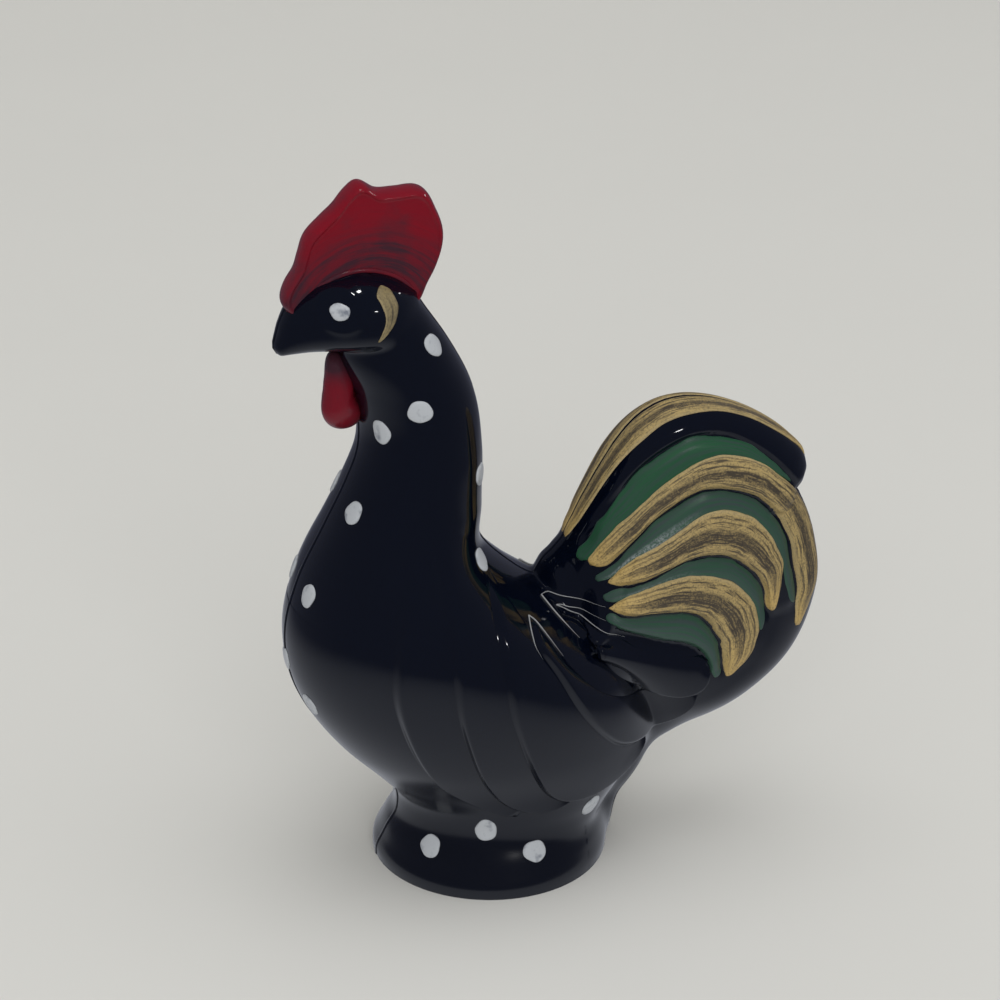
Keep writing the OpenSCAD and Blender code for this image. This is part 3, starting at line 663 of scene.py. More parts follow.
@dataclass
class Wing:
    """The moulded wing: petals that each stand up at their front edge and run in under the next."""

    glass: Casting
    # Front edge and covered edge of each petal, from the shoulder to the tip
    petals: tuple[tuple[Stations, Stations], ...] = (
        (
            ((-11.2, 49.5), (-12.5, 45), (-14.5, 39.8), (-15.3, 33.7), (-15.3, 28.6), (-13.3, 22.1),
             (-10.3, 16.7), (-7.2, 13.7), (-3, 11), (0, 9.6)),
            ((-9.2, 50), (-8.8, 46), (-8.4, 41), (-8.1, 36), (-7.8, 29.2), (-6.7, 23.8), (-4.3, 17),
             (-2, 13.5), (0, 11.5), (1, 10.6)),
        ),
        (
            ((-9.6, 52), (-9.3, 47), (-9.1, 42), (-8.8, 36.1), (-8.4, 29.2), (-7.3, 23.8), (-4.9, 17),
             (-1.9, 12.3), (2.5, 10), (6, 10.6), (8, 11.8)),
            ((-3.6, 48), (-2.6, 43), (-2.2, 40), (-2.3, 36), (-1.7, 31), (-1, 25.6), (1.2, 18.5),
             (3.6, 14.2), (5.8, 12.4), (7.4, 12.1), (8.5, 12.4)),
        ),
        (
            ((-3.4, 45), (-2.8, 42), (-2.8, 39), (-2.9, 36), (-2.3, 31.1), (-1.6, 25.6), (1.7, 16.2),
             (4.6, 11.8), (9, 10.8), (13.5, 12), (16.6, 13.7), (18, 15)),
            ((-0.5, 38), (1.3, 36.2), (2.3, 34.6), (3, 33), (5, 29.5), (8.1, 24), (11.4, 19.7),
             (14.2, 17.2), (15.8, 16.2), (17, 15.8), (18, 15.6), (18.6, 15.6)),
        ),
        (
            ((2.6, 35.6), (2.2, 34.9), (2.2, 34), (2.5, 32.6), (4.6, 29.3), (7.5, 23.9), (10.9, 19.4),
             (13.8, 16.7), (18, 15.2), (21.5, 15.6), (23.8, 17.8), (24.6, 19.8)),
            ((2.9, 35.6), (3.4, 34.8), (4, 33.9), (5.8, 31.2), (7.4, 29), (10.5, 25.8), (14.2, 23.4),
             (18.2, 21.8), (20.8, 21), (22.8, 20.6), (24, 20.4), (24.8, 20.4)),
        ),
        (
            ((5.6, 35), (6.5, 33.8), (8.3, 31.9), (10.2, 29.9), (13.7, 25.6), (18.2, 21.9), (22.5, 20.3),
             (25.4, 21), (26.3, 23.3), (25.6, 25.5)),
            ((5.9, 35), (7.5, 33.6), (8.8, 32.9), (10.9, 31.9), (13.7, 30.8), (16.2, 29.1), (18.7, 27.6),
             (21.5, 26.6), (23.6, 26.1), (24.9, 26)),
        ),
    )
    # Sharp ridges that part in pairs from the pointed roots of the last feathers
    crests: tuple[Stations, ...] = (
        ((2.3, 35.6), (2.15, 34.6), (2.3, 33), (3, 31.6)),
        ((2.3, 35.6), (3.1, 34.9), (4, 33.7), (5.1, 32.1), (5.9, 30.9)),
        ((5.2, 35.6), (6.6, 35.2), (8.9, 34.8), (10.8, 34.4), (12.6, 34.2)),
        ((5.2, 35.6), (6.4, 34.1), (7.6, 32.7), (8.9, 31.2)),
        ((6.9, 34.3), (8.4, 33.8), (10.2, 33.3), (12.4, 32.8)),
        ((6.9, 34.3), (8.8, 33.2), (11, 32.1), (13.2, 31.1), (14.8, 30.3)),
    )
    crest_h: float = 0.1
    crest_w: float = 0.06
    crest_over: float = 0.1
    # Share of a ridge's size that it loses, and the share of the way from which it does
    crest_loss: float = 0.8
    crest_even: float = 0.3
    crest_rows: int = 60
    lift: float = 0.75
    fall_power: float = 1.6
    sunk: float = 0.03
    tuck: float = 0.06
    depth: float = 0.6
    soft_rise: float = 2.6
    crisp_rise: float = 0.8
    # Share of the edge by which each petal's rise has turned crisp
    crisp_from: tuple[float, ...] = (0.7, 0.6, 0.6, 0.2, 0.2)
    # Share of the edge by which each petal has its full height
    full_from: tuple[float, ...] = (0.26, 0.26, 0.4, 0.25, 0.25)
    tip_loss: float = 0.75
    tip_from: float = 0.94
    rows: int = 90
    cols: int = 30
    crowding: float = 2.2

    def petal(self, front: Stations, covered: Stations, crisp: float, full: float) -> Skin:
        """One petal between its two edges.

        Its height over the body rises by a smooth step over a short way from the front edge, and
        then falls to below the body at the covered edge. The way is long at the shoulder and short
        at the tip, and the whole petal fades out at both ends.

        Args:
            front: Stations of the front edge.
            covered: Stations of the covered edge.
            crisp: Share of the front edge by which the rise is crisp.
            full: Share of the front edge by which the petal has its full height.

        Returns:
            The petal as a closed wedge sunk into the glass.
        """
        u = np.linspace(0, 1, self.rows)
        v = np.linspace(0, 1, self.cols)[None] ** self.crowding
        a, b = Path(front)(u), Path(covered)(u)
        flat = mix(a[:, None], b[:, None], v[..., None])
        width = np.linalg.norm(b - a, axis=1)
        rise = mix(self.soft_rise, self.crisp_rise, ease(0, crisp, u))
        step = ease(0, 1, v * (width / rise)[:, None])
        grow = (ease(0, full, u) * (1 - self.tip_loss * ease(self.tip_from, 1, u)))[:, None]
        over = grow * self.lift * (1 - v**self.fall_power) * step
        over = over - self.sunk * (1 - step) - self.tuck * v**3 - self.sunk * (1 - grow)
        return Skin.slab(self.glass.on_glass(flat, over), self.glass.on_glass(flat, -self.depth))

    def crest(self, stations: Stations) -> Skin:
        """A sharp ridge on the glass that thins out away from its root."""
        u = np.linspace(0, 1, self.crest_rows)
        way = self.glass.on_glass(Path(stations)(u), self.crest_over)
        taper = 1 - self.crest_loss * ease(self.crest_even, 1, u)
        return Skin.bead(way, self.glass.normal(way), self.crest_h * taper, self.crest_w * taper)

    def build(self, finish: bpy.types.Material, ridge_highlight: bpy.types.Material) -> None:
        """Both wings, with their ridges in pale grey: a painted highlight along each ridge."""
        shares = zip(self.petals, self.crisp_from, self.full_from)
        feathers = Skin.join([self.petal(*edges, crisp, full) for edges, crisp, full in shares])
        ridges = Skin.join([self.crest(stations) for stations in self.crests])
        for side in Side:
            node = f"wing_{side.label}"
            feathers.on(side).placed(f"wing_feathers_{side.label}", node, "black_glass", finish)
            ridges.on(side).placed(f"wing_ridges_{side.label}", node, "black_glass", ridge_highlight)


def full_turn(count: int) -> Array:
    """Angles of a full turn in degrees, from straight down."""
    return np.linspace(-90, 270, count, endpoint=False)


@dataclass
class Crown:
    """The red comb and the red wattle: closed lenses around a point of the parting plane."""

    glass: Casting
    comb_x: float = -14.0
    comb_z: float = 78.0
    comb_r: float = 10.0
    comb_t: float = 3.6
    comb_rim: float = 0.8
    comb_edge: float = 3.5
    comb_soft: float = 3.0
    comb_turns: int = 240
    # Rings of the comb's face, and of its rim from one share of the reach outwards
    face_shares: tuple[float, ...] = (0.02, 0.25, 0.5, 0.65)
    rim_from: float = 0.74
    rim_rings: int = 26
    rim_ridge: float = 0.22
    rim_ridge_in: float = 0.55
    rim_ridge_w: float = 0.25
    border: float = 0.32
    border_span: Span = (-20.4, -8.9)
    border_points: int = 90
    border_lift: float = 0.1
    border_out: Place = (0.0, -0.8, 0.6)
    border_end: float = 0.3
    border_taper: float = 0.12
    # Where the border is looked for: over the head's and over the comb's middle
    search_over: Span = (1.0, 3.0)
    comb_outline: Stations = (
        (-110, 0.53), (-90, 0.5), (-45, 0.74), (-20, 0.72), (-3, 0.78), (25, 0.94), (38, 0.99),
        (54, 1.06), (68, 0.94), (84, 0.89), (97, 1), (105, 0.94), (117, 0.84), (133, 0.81), (153, 0.84),
        (169, 0.84), (182, 0.89), (192, 1.02), (200, 1.1), (207, 1.08), (225, 0.8), (270, 0.5),
        (315, 0.74))
    wattle_x: float = -17.5
    wattle_z: float = 61.7
    wattle_l: float = 8.8
    wattle_w: float = 5.6
    wattle_t: float = 5.0
    wattle_soft: float = 6.0
    wattle_turns: int = 96
    wattle_rings: int = 30
    wattle_from: float = 0.02
    wattle_outline: Stations = (
        (-130, 0.95), (-90, 0.87), (-45, 0.97), (0, 0.62), (50, 0.66), (80, 1.1), (103, 1.4), (120, 1.0),
        (140, 0.84), (180, 0.82), (230, 0.95), (270, 0.87), (315, 0.97))

    @staticmethod
    def lens(middle: Span, reach: Array, turn: Array, depth: Array, share: Array) -> Skin:
        """A closed lens from shares of the reach and half thicknesses at these shares.

        Rings of equal share run round the middle, from the near face's middle over the rim to the
        far face's middle.

        Args:
            middle: x and z of the middle.
            reach: Distance of the outline from the middle at each turn.
            turn: Angles in radians.
            depth: Half thickness, number of shares by number of turns.
            share: Shares of the reach, from near zero to one.

        Returns:
            The lens.
        """
        x = middle[0] + share[:, None] * reach * np.cos(turn)
        z = middle[1] + share[:, None] * reach * np.sin(turn)
        near = np.stack([x, -depth, z], -1)
        return Skin.from_rings(np.concatenate([near, near[-2::-1] * MIRROR]))

    def comb(self) -> Skin:
        """Flat faces with a tight round rim: depth t * root(1 - e^k), e from the rim's inner line out."""
        degrees = full_turn(self.comb_turns)
        reach = self.comb_r * Line(self.comb_outline, self.comb_soft)(degrees)
        rim = np.sin(np.linspace(0, np.pi / 2, self.rim_rings))
        share = np.concatenate([self.face_shares, mix(self.rim_from, 1, rim)])
        gap = reach * (1 - share[:, None])
        e = 1 - np.minimum(gap / self.comb_rim, 1)
        depth = self.comb_t / 2 * np.sqrt(np.maximum(1 - e**self.comb_edge, 0))
        depth = depth + self.rim_ridge * np.exp(-(((gap - self.rim_ridge_in) / self.rim_ridge_w) ** 2))
        plate = self.lens((self.comb_x, self.comb_z), reach, np.radians(degrees), depth, share)
        border = self.lower_border()
        return Skin.join([plate, border, border.flipped()])

    def lower_border(self) -> Skin:
        """The raised border where the comb's face meets the head, found by halving in z."""
        x = np.linspace(*self.border_span, self.border_points)
        half = self.comb_t / 2
        starts = (self.glass.head_z, self.comb_z)
        lo, hi = [np.full(x.shape, z + over) for z, over in zip(starts, self.search_over)]
        z = last_inside(lambda m: self.glass.q(x, m) > half**2, lo, hi)
        way = np.stack([x, np.full(x.shape, -half), z + self.border_lift], -1)
        out = np.tile(self.border_out, (len(x), 1))
        u = np.linspace(0, 1, len(x))
        ends = ease(0, self.border_taper, u) * ease(0, self.border_taper, 1 - u)
        size = self.border * mix(self.border_end, 1, ends)
        return Skin.bead(way, out, size, size)

    def wattle(self) -> Skin:
        """A plump drop: depth t * root(1 - share^2)."""
        degrees = full_turn(self.wattle_turns)
        a = np.radians(degrees)
        oval = 1 / np.hypot(2 * np.cos(a) / self.wattle_w, 2 * np.sin(a) / self.wattle_l)
        reach = oval * Line(self.wattle_outline, self.wattle_soft)(degrees)
        share = np.sin(np.linspace(self.wattle_from, np.pi / 2, self.wattle_rings))
        depth = self.wattle_t / 2 * np.sqrt(np.maximum(1 - share[:, None] ** 2, 0)) * np.ones(len(a))
        return self.lens((self.wattle_x, self.wattle_z), reach, a, depth, share)

    def build(self, finish: bpy.types.Material) -> None:
        """Comb and wattle."""
        self.comb().placed("red_comb", "comb", "red_enamel", finish)
        self.wattle().placed("red_wattle", "wattle", "red_enamel", finish)


@dataclass(frozen=True)
class Coat:
    """How a stroke lies: height at its edges, crest over them, and how far each edge draws in."""

    paint: float
    crest: float
    top_in: float = 0.0
    low_in: float = 0.0
    wander: float = 1.0


@dataclass
class Brush:
    """Enamel strokes laid on the glass, each a sheet between two edges, with brush lines along its UV."""

    glass: Casting
    # Edges in hundredths of the tail's reach, from its root
    gold_2_top: Stations = (
        (2.3, 28.4), (4.3, 31.5), (9.1, 37.5), (14, 43), (19, 46.9), (24.2, 51.3), (29.3, 55.7),
        (38.2, 61.3), (45.6, 64.9), (53.2, 66), (61.6, 64.6), (70.5, 60.6), (78.4, 54.4), (85.1, 47.2),
        (91, 36), (94.5, 25), (96, 16), (95.9, 8.2), (93.3, 0.2), (89.6, -8.6), (87.7, -11))
    gold_2_low: Stations = (
        (6.1, 26.3), (9.8, 27.7), (13.7, 30.8), (18.5, 35.7), (23.7, 40.4), (28.2, 44.4), (35.8, 48.8),
        (45.2, 53), (50.9, 53.2), (60.4, 51.3), (70.1, 46.4), (76.7, 39.1), (81.7, 30.3), (83.9, 20.2),
        (86.5, 7.5), (86.3, -0.6), (86.3, -9.1))
    gold_3_top: Stations = (
        (9.5, 22.1), (11.5, 24), (14.7, 27.4), (20.4, 31), (32.2, 36.6), (40.4, 41.4), (49, 45.1),
        (58.2, 44.4), (67.6, 39.6), (74.5, 31), (78.8, 22.3), (79.7, 18.5), (78.4, 9.6), (77.1, 1.8),
        (75.5, 0.1))
    gold_3_low: Stations = (
        (9.6, 21.2), (12.7, 20.5), (17.8, 20.9), (23.6, 22.3), (29.7, 23.9), (35.8, 26.1), (42.1, 27.6),
        (49.6, 27.6), (58.7, 24.9), (66.8, 18.3), (71.9, 10.5), (73.4, 2.1), (74.7, 0.2))
    gold_4_top: Stations = (
        (8.7, 12.9), (13.6, 16), (19.5, 18.2), (31.7, 21.2), (44.2, 21.1), (56.9, 16.7), (64.7, 9.5),
        (69, 2.2), (70.4, -5.7), (69.6, -9.7), (66.2, -17.1), (60.5, -22.3), (57.2, -23.9))
    gold_4_low: Stations = (
        (9.3, 12.4), (15, 10), (21.3, 9), (29.7, 8), (38.2, 6.6), (44.6, 4), (49, 0.3), (52.4, -5.5),
        (54, -9.3), (55, -15.5), (56.3, -23.5))
    green_1_top: Stations = (
        (-1.1, 28.5), (0.5, 32.1), (3.9, 37.4), (7.4, 43.6), (11.6, 50.1), (16.1, 56), (22.9, 63.2),
        (35, 70.9), (42.6, 73.6), (50.1, 73.4), (59.6, 71.3), (65.4, 68.8), (73.6, 62.2), (80.7, 55),
        (83.1, 51.7))
    green_4_low: Stations = (
        (6.7, 8.7), (9.7, 7), (15.2, 3.1), (21.6, -0.5), (29.9, -3.5), (38.3, -6.2), (43.4, -8.9),
        (47.7, -13.6), (50.7, -21.8), (51.6, -24))
    # Crescent behind the eye: outer and inner edge in x and z
    ear_outer: Stations = (
        (-13.4, 76.9), (-12.5, 76.2), (-12, 75.1), (-12.1, 74.3), (-12.7, 73.1), (-13.7, 71.9),
        (-14.5, 71.2))
    ear_inner: Stations = (
        (-14.2, 76.5), (-14.4, 76), (-14, 75.2), (-13.7, 74), (-13.8, 73.2), (-14.2, 72.2), (-14.7, 71.2))
    # First gold feather: angle round the tail's root, and breadth out from the seam
    edge_breadth: Stations = (
        (31, 0.5), (32, 0.6), (40.6, 1.5), (48, 1.7), (55, 2), (61, 2.5), (66.7, 2.85), (71, 3.2),
        (75, 3), (79, 2.5), (83, 2.1), (87, 1.6), (90, 1.3), (93, 0.8))
    edge_soft: float = 1.5
    edge_from: float = 93.0
    edge_to: float = 31.5
    edge_seam: float = 0.07
    # Shares of the tail's reach between which the glass is looked for
    edge_search: Span = (0.125, 1.12)
    gold_coat: Coat = Coat(0.2, 0.3)
    green_coats: tuple[Coat, ...] = (
        Coat(0.09, 0.12, 0.1, -0.15),
        Coat(0.09, 0.1, 0.3, -0.15),
        Coat(0.09, 0.1, 0.3, -0.15),
        Coat(0.09, 0.2, 0.25, 0.05),
    )
    ear_coat: Coat = Coat(0.16, 0.08, wander=0.2)
    gold_seed: int = 10
    green_seed: int = 20
    ear_seed: int = 30
    sunk: float = 0.15
    # Waves of an edge along a stroke, and their heights
    waves: tuple[int, ...] = (4, 9, 17)
    wander: tuple[float, ...] = (0.05, 0.035, 0.02)
    # Least width, then shares of the width: most drawing in, round cap and breadth of the end
    least_w: float = 0.15
    most_in: float = 0.35
    cap: float = 0.45
    end_w: float = 0.15
    # Width from which a stroke has its full crest, and how flat the paint lies up to its edges
    full_w: float = 3.0
    paint_power: int = 10
    rows: int = 140
    cols: int = 24

    @staticmethod
    def from_end(points: Array) -> Array:
        """Length of the way from the nearer end to each point."""
        way = run_length(points)
        return np.minimum(way, way[-1] - way)

    @staticmethod
    def stroke_uv(way: Array, across: Array) -> Array:
        """UV of a stroke: the way from the nearer end in centimetres, and the place across."""
        return np.stack(np.broadcast_arrays(way[:, None] / MM_PER_UV, across[None]), -1)

    def sheet(self, top: Stations | Array, low: Stations | Array, coat: Coat, seed: int) -> Skin:
        """A stroke between two edges, highest along its middle, with round ends.

        Both edges are cut into equal steps and joined straight across. They wander a little, as a
        brush does, by a few waves of fixed random phase. The place across runs from -1 at the top
        edge to 1 at the lower one.

        Args:
            top: Stations of the upper edge in millimetres.
            low: Stations of the lower edge in millimetres.
            coat: How the stroke lies.
            seed: Seed of the wandering edges.

        Returns:
            The stroke as a closed sheet that sits in the glass.
        """
        a, b = Path(top).even(self.rows), Path(low).even(self.rows)
        wide = np.maximum(np.linalg.norm(b - a, axis=1), self.least_w)
        across = (b - a) / wide[:, None]
        phase = np.random.default_rng(seed).uniform(0, 2 * np.pi, (2, len(self.waves)))
        turns = 2 * np.pi * np.outer(np.linspace(0, 1, self.rows), self.waves)
        drift = np.sin(turns + phase[:, None]) @ np.array(self.wander) * coat.wander
        most = self.most_in * wide
        a = a + across * np.minimum(coat.top_in + drift[0], most)[:, None]
        b = b - across * np.minimum(coat.low_in + drift[1], most)[:, None]
        middle = (a + b) / 2
        way = self.from_end(middle)
        cap = np.sqrt(1 - (1 - np.clip(way / (self.cap * wide), 0, 1)) ** 2)
        s = np.linspace(-1, 1, self.cols)
        half = (b - a) / 2 * mix(self.end_w, 1, cap)[:, None]
        flat = middle[:, None] + half[:, None] * s[None, :, None]
        crest = coat.crest * (1 - s[None] ** 2) * np.minimum(wide / self.full_w, 1)[:, None]
        over = (coat.paint * (1 - np.abs(s[None]) ** self.paint_power) + crest) * cap[:, None]
        upper, lower = self.glass.on_glass(flat, over), self.glass.on_glass(flat, -self.sunk)
        return Skin.slab(upper, lower, self.stroke_uv(way, s))

    def tail_stroke(self, edges: tuple[Stations, Stations], coat: Coat, seed: int) -> Skin:
        """A stroke between edges in hundredths of the tail's reach."""
        return self.sheet(*[self.glass.from_root(edge) for edge in edges], coat, seed)

    def edge_feather(self) -> Skin:
        """The gold feather along the tail's top edge, from beside the seam outwards.

        At each angle round the tail's root, points are found on the glass at chosen y by halving
        along the ray, and then lifted along the normal.
        """
        glass = self.glass
        s = np.linspace(self.edge_seam, 1, self.cols)
        angle = np.linspace(self.edge_from, self.edge_to, self.rows)
        a = np.radians(angle)[:, None]
        y = -Line(self.edge_breadth, self.edge_soft)(angle)[:, None] * s[None]

        def on_ray(reach: Array) -> tuple[Array, Array]:
            """x and z at distances from the tail's root."""
            return glass.tail_x + np.cos(a) * reach, glass.tail_z + np.sin(a) * reach

        lo, hi = [np.full(y.shape, glass.tail_r * k) for k in self.edge_search]
        x, z = on_ray(last_inside(lambda m: glass.q(*on_ray(m)) > y * y, lo, hi))
        base = np.stack([x, y, z], -1)
        n = glass.normal(base)
        base = base + n * glass.relief(x, z)[..., None]
        t = (2 * s - 1 - self.edge_seam) / (1 - self.edge_seam)
        way = self.from_end(base[:, 0])
        cap = np.sqrt(np.clip(way, 0, 1))
        over = self.gold_coat.paint * (1 - np.abs(t[None]) ** self.paint_power) * cap[:, None]
        return Skin.slab(base + n * over[..., None], base - n * self.sunk, self.stroke_uv(way, t))

    def greens(self) -> list[tuple[Stations, Stations]]:
        """Edges of the green strokes: each runs from the step under one gold to the next gold's top."""
        return [
            (self.green_1_top, (*self.gold_2_top[:13], (83.5, 50.5))),
            (
                ((5, 23.7), *self.gold_2_low[1:-1]),
                ((5.6, 21.6), *self.gold_3_top[1:12], (81.3, 10), (83.3, 2)),
            ),
            (
                ((6.8, 18), *self.gold_3_low[1:-1], (73.2, -3)),
                ((7.6, 15.4), *self.gold_4_top[1:9], (71.3, -8)),
            ),
            ((*self.gold_4_low[:-1], (55.6, -22)), self.green_4_low),
        ]

    def build(
        self, gold: bpy.types.Material, dull: bpy.types.Material, green: list[bpy.types.Material]
    ) -> None:
        """All strokes on both flanks.

        Args:
            gold: Finish of the gold feathers.
            dull: Finish of the crescents behind the eyes.
            green: Finish of each green feather.
        """
        pairs = (
            (self.gold_2_top, self.gold_2_low),
            (self.gold_3_top, self.gold_3_low),
            (self.gold_4_top, self.gold_4_low),
        )
        golds = [self.edge_feather()]
        for k, edges in enumerate(pairs):
            golds.append(self.tail_stroke(edges, self.gold_coat, self.gold_seed + k))
        laid = enumerate(zip(self.greens(), self.green_coats))
        greens = [self.tail_stroke(edges, coat, self.green_seed + k) for k, (edges, coat) in laid]
        ear = self.sheet(self.ear_outer, self.ear_inner, self.ear_coat, self.ear_seed)
        for side in Side:
            for k, skin in enumerate(golds, 1):
                end = f"{k}_{side.label}"
                skin.on(side).placed(f"gold_feather_{end}", f"tail_gold_{end}", "gold_enamel", gold)
            for k, (skin, finish) in enumerate(zip(greens, green), 1):
                end = f"{k}_{side.label}"
                skin.on(side).placed(f"green_feather_{end}", f"tail_green_{end}", "green_enamel", finish)
            ear.on(side).placed(f"gold_crescent_{side.label}", f"ear_{side.label}", "gold_enamel", dull)


@dataclass
class Dabs:
    """White dots and eyes, dabbed on with the end of a stick."""

    glass: Casting
    # Places to look for the glass: x, y and z of the left flank
    neck: Stations = (
        (-7.7, -5.4, 69.4), (-10.1, -8.1, 62.4), (-14.1, -5.4, 59.2), (-2.3, -5.1, 52.4), (-2.1, -7, 42.4))
    breast: Stations = (
        (-17.4, -4.6, 49), (-22.9, -4.1, 38.7), (-23, -4.2, 24.3))
    foot: Stations = (
        (-9.4, -8, 4.9), (-3.2, -11, 7.9), (2.5, -12.5, 4.9), (10.4, -9.6, 8.5))
    keel: Place = (-25, 0, 28.7)
    eye: Place = (-18.6, -5.3, 74.5)
    eye_seed: int = 40
    neck_seed: int = 50
    breast_seed: int = 60
    keel_seed: int = 70
    foot_seed: int = 80
    dot_d: float = 2.8
    eye_d: float = 2.5
    eye_flat: float = 0.8
    dome: float = 0.26
    sunk: float = 0.12
    sides: int = 36
    # Waves round a dab's outline, and their heights as shares of the radius
    lobes: Stations = ((2, 0.06), (3, 0.04), (5, 0.02))
    # Share of the radius and of the dome's height, from the rim to the middle
    profile: Stations = (
        (1, -1), (1, 0.1), (0.985, 0.3), (0.95, 0.5), (0.88, 0.68), (0.76, 0.82), (0.58, 0.92),
        (0.36, 0.98), (0.16, 1), (0.04, 1))

    def dab(self, place: Place, wide: float, tall: float, seed: int) -> Skin:
        """A low dome settled on the glass, with a slightly uneven outline.

        Args:
            place: A point near the glass.
            wide: Level diameter.
            tall: Upright diameter.
            seed: Seed of the outline.

        Returns:
            The dome, closed and sunk a little into the glass.
        """
        start = np.array([place], float)
        n = self.glass.normal(start)[0]
        c = self.glass.settle(start, n)[0]
        across = unit(np.cross(n, (0, 0, 1)))
        up = np.cross(across, n)
        a = np.linspace(0, 2 * np.pi, self.sides, endpoint=False)
        phase = np.random.default_rng(seed).uniform(0, 2 * np.pi, len(self.lobes))
        uneven = 1 + sum(high * np.cos(count * a + p) for (count, high), p in zip(self.lobes, phase))
        r, h = np.array(self.profile).T
        x = r[:, None] * uneven * np.cos(a) * wide / 2
        z = r[:, None] * uneven * np.sin(a) * tall / 2
        base = self.glass.settle(c + across * x[..., None] + up * z[..., None], n)
        over = np.where(h < 0, -self.sunk, h * self.dome)
        uv = np.stack([x + seed, z], -1) / MM_PER_UV
        return Skin.from_rings(base + n * over[:, None, None], uv)

    def dots(self, places: Stations, seed: int) -> list[Skin]:
        """Dots at these places."""
        return [self.dab(place, self.dot_d, self.dot_d, seed + k) for k, place in enumerate(places)]

    def pair(self, places: Stations, seed: int) -> list[Skin]:
        """Dots of both flanks at these places."""
        left = self.dots(places, seed)
        return left + [dot.flipped() for dot in left]

    def build(self, finish: bpy.types.Material) -> None:
        """Eyes and the three groups of dots."""
        eye = self.dab(self.eye, self.eye_d, self.eye_d * self.eye_flat, self.eye_seed)
        for side in Side:
            eye.on(side).placed(f"white_eye_{side.label}", f"eye_{side.label}", "white_enamel", finish)
        groups = {
            "neck_dots": self.pair(self.neck, self.neck_seed),
            "breast_dots": self.pair(self.breast, self.breast_seed) + self.dots((self.keel,), self.keel_seed),
            "foot_dots": self.pair(self.foot, self.foot_seed),
        }
        for node, skins in groups.items():
            Skin.join(skins).placed(f"white_{node}", node, "white_enamel", finish)


def math_method(operation: str, swapped: bool = False) -> Callable[["Wire", "Wire | float"], "Wire"]:
    """A method of Wire that adds a Math node on two values.

    Args:
        operation: The node's operation.
        swapped: True where the other value comes first.

    Returns:
        The method.
    """

    def method(wire: "Wire", other: "Wire | float") -> "Wire":
        """A Math node on this value and another."""
        first, second = (other, wire) if swapped else (wire, other)
        return wire.graph.node("Math", {"operation": operation}, {0: first, 1: second})

    return method


class Wire:
    """One value in a node tree: an output socket whose arithmetic adds Math nodes."""

    def __init__(self, graph: "Graph", socket: bpy.types.NodeSocket) -> None:
        """Keeps the socket and the node tree that it belongs to."""
        self.graph = graph
        self.socket = socket

    __add__ = math_method("ADD")
    __radd__ = math_method("ADD", swapped=True)
    __sub__ = math_method("SUBTRACT")
    __rsub__ = math_method("SUBTRACT", swapped=True)
    __mul__ = math_method("MULTIPLY")
    __rmul__ = math_method("MULTIPLY", swapped=True)
    __truediv__ = math_method("DIVIDE")
    __rtruediv__ = math_method("DIVIDE", swapped=True)
    __pow__ = math_method("POWER")
    least = math_method("MINIMUM")
    most = math_method("MAXIMUM")

    def __abs__(self) -> "Wire":
        """The value without its sign."""
        return self.graph.node("Math", {"operation": "ABSOLUTE"}, {0: self})


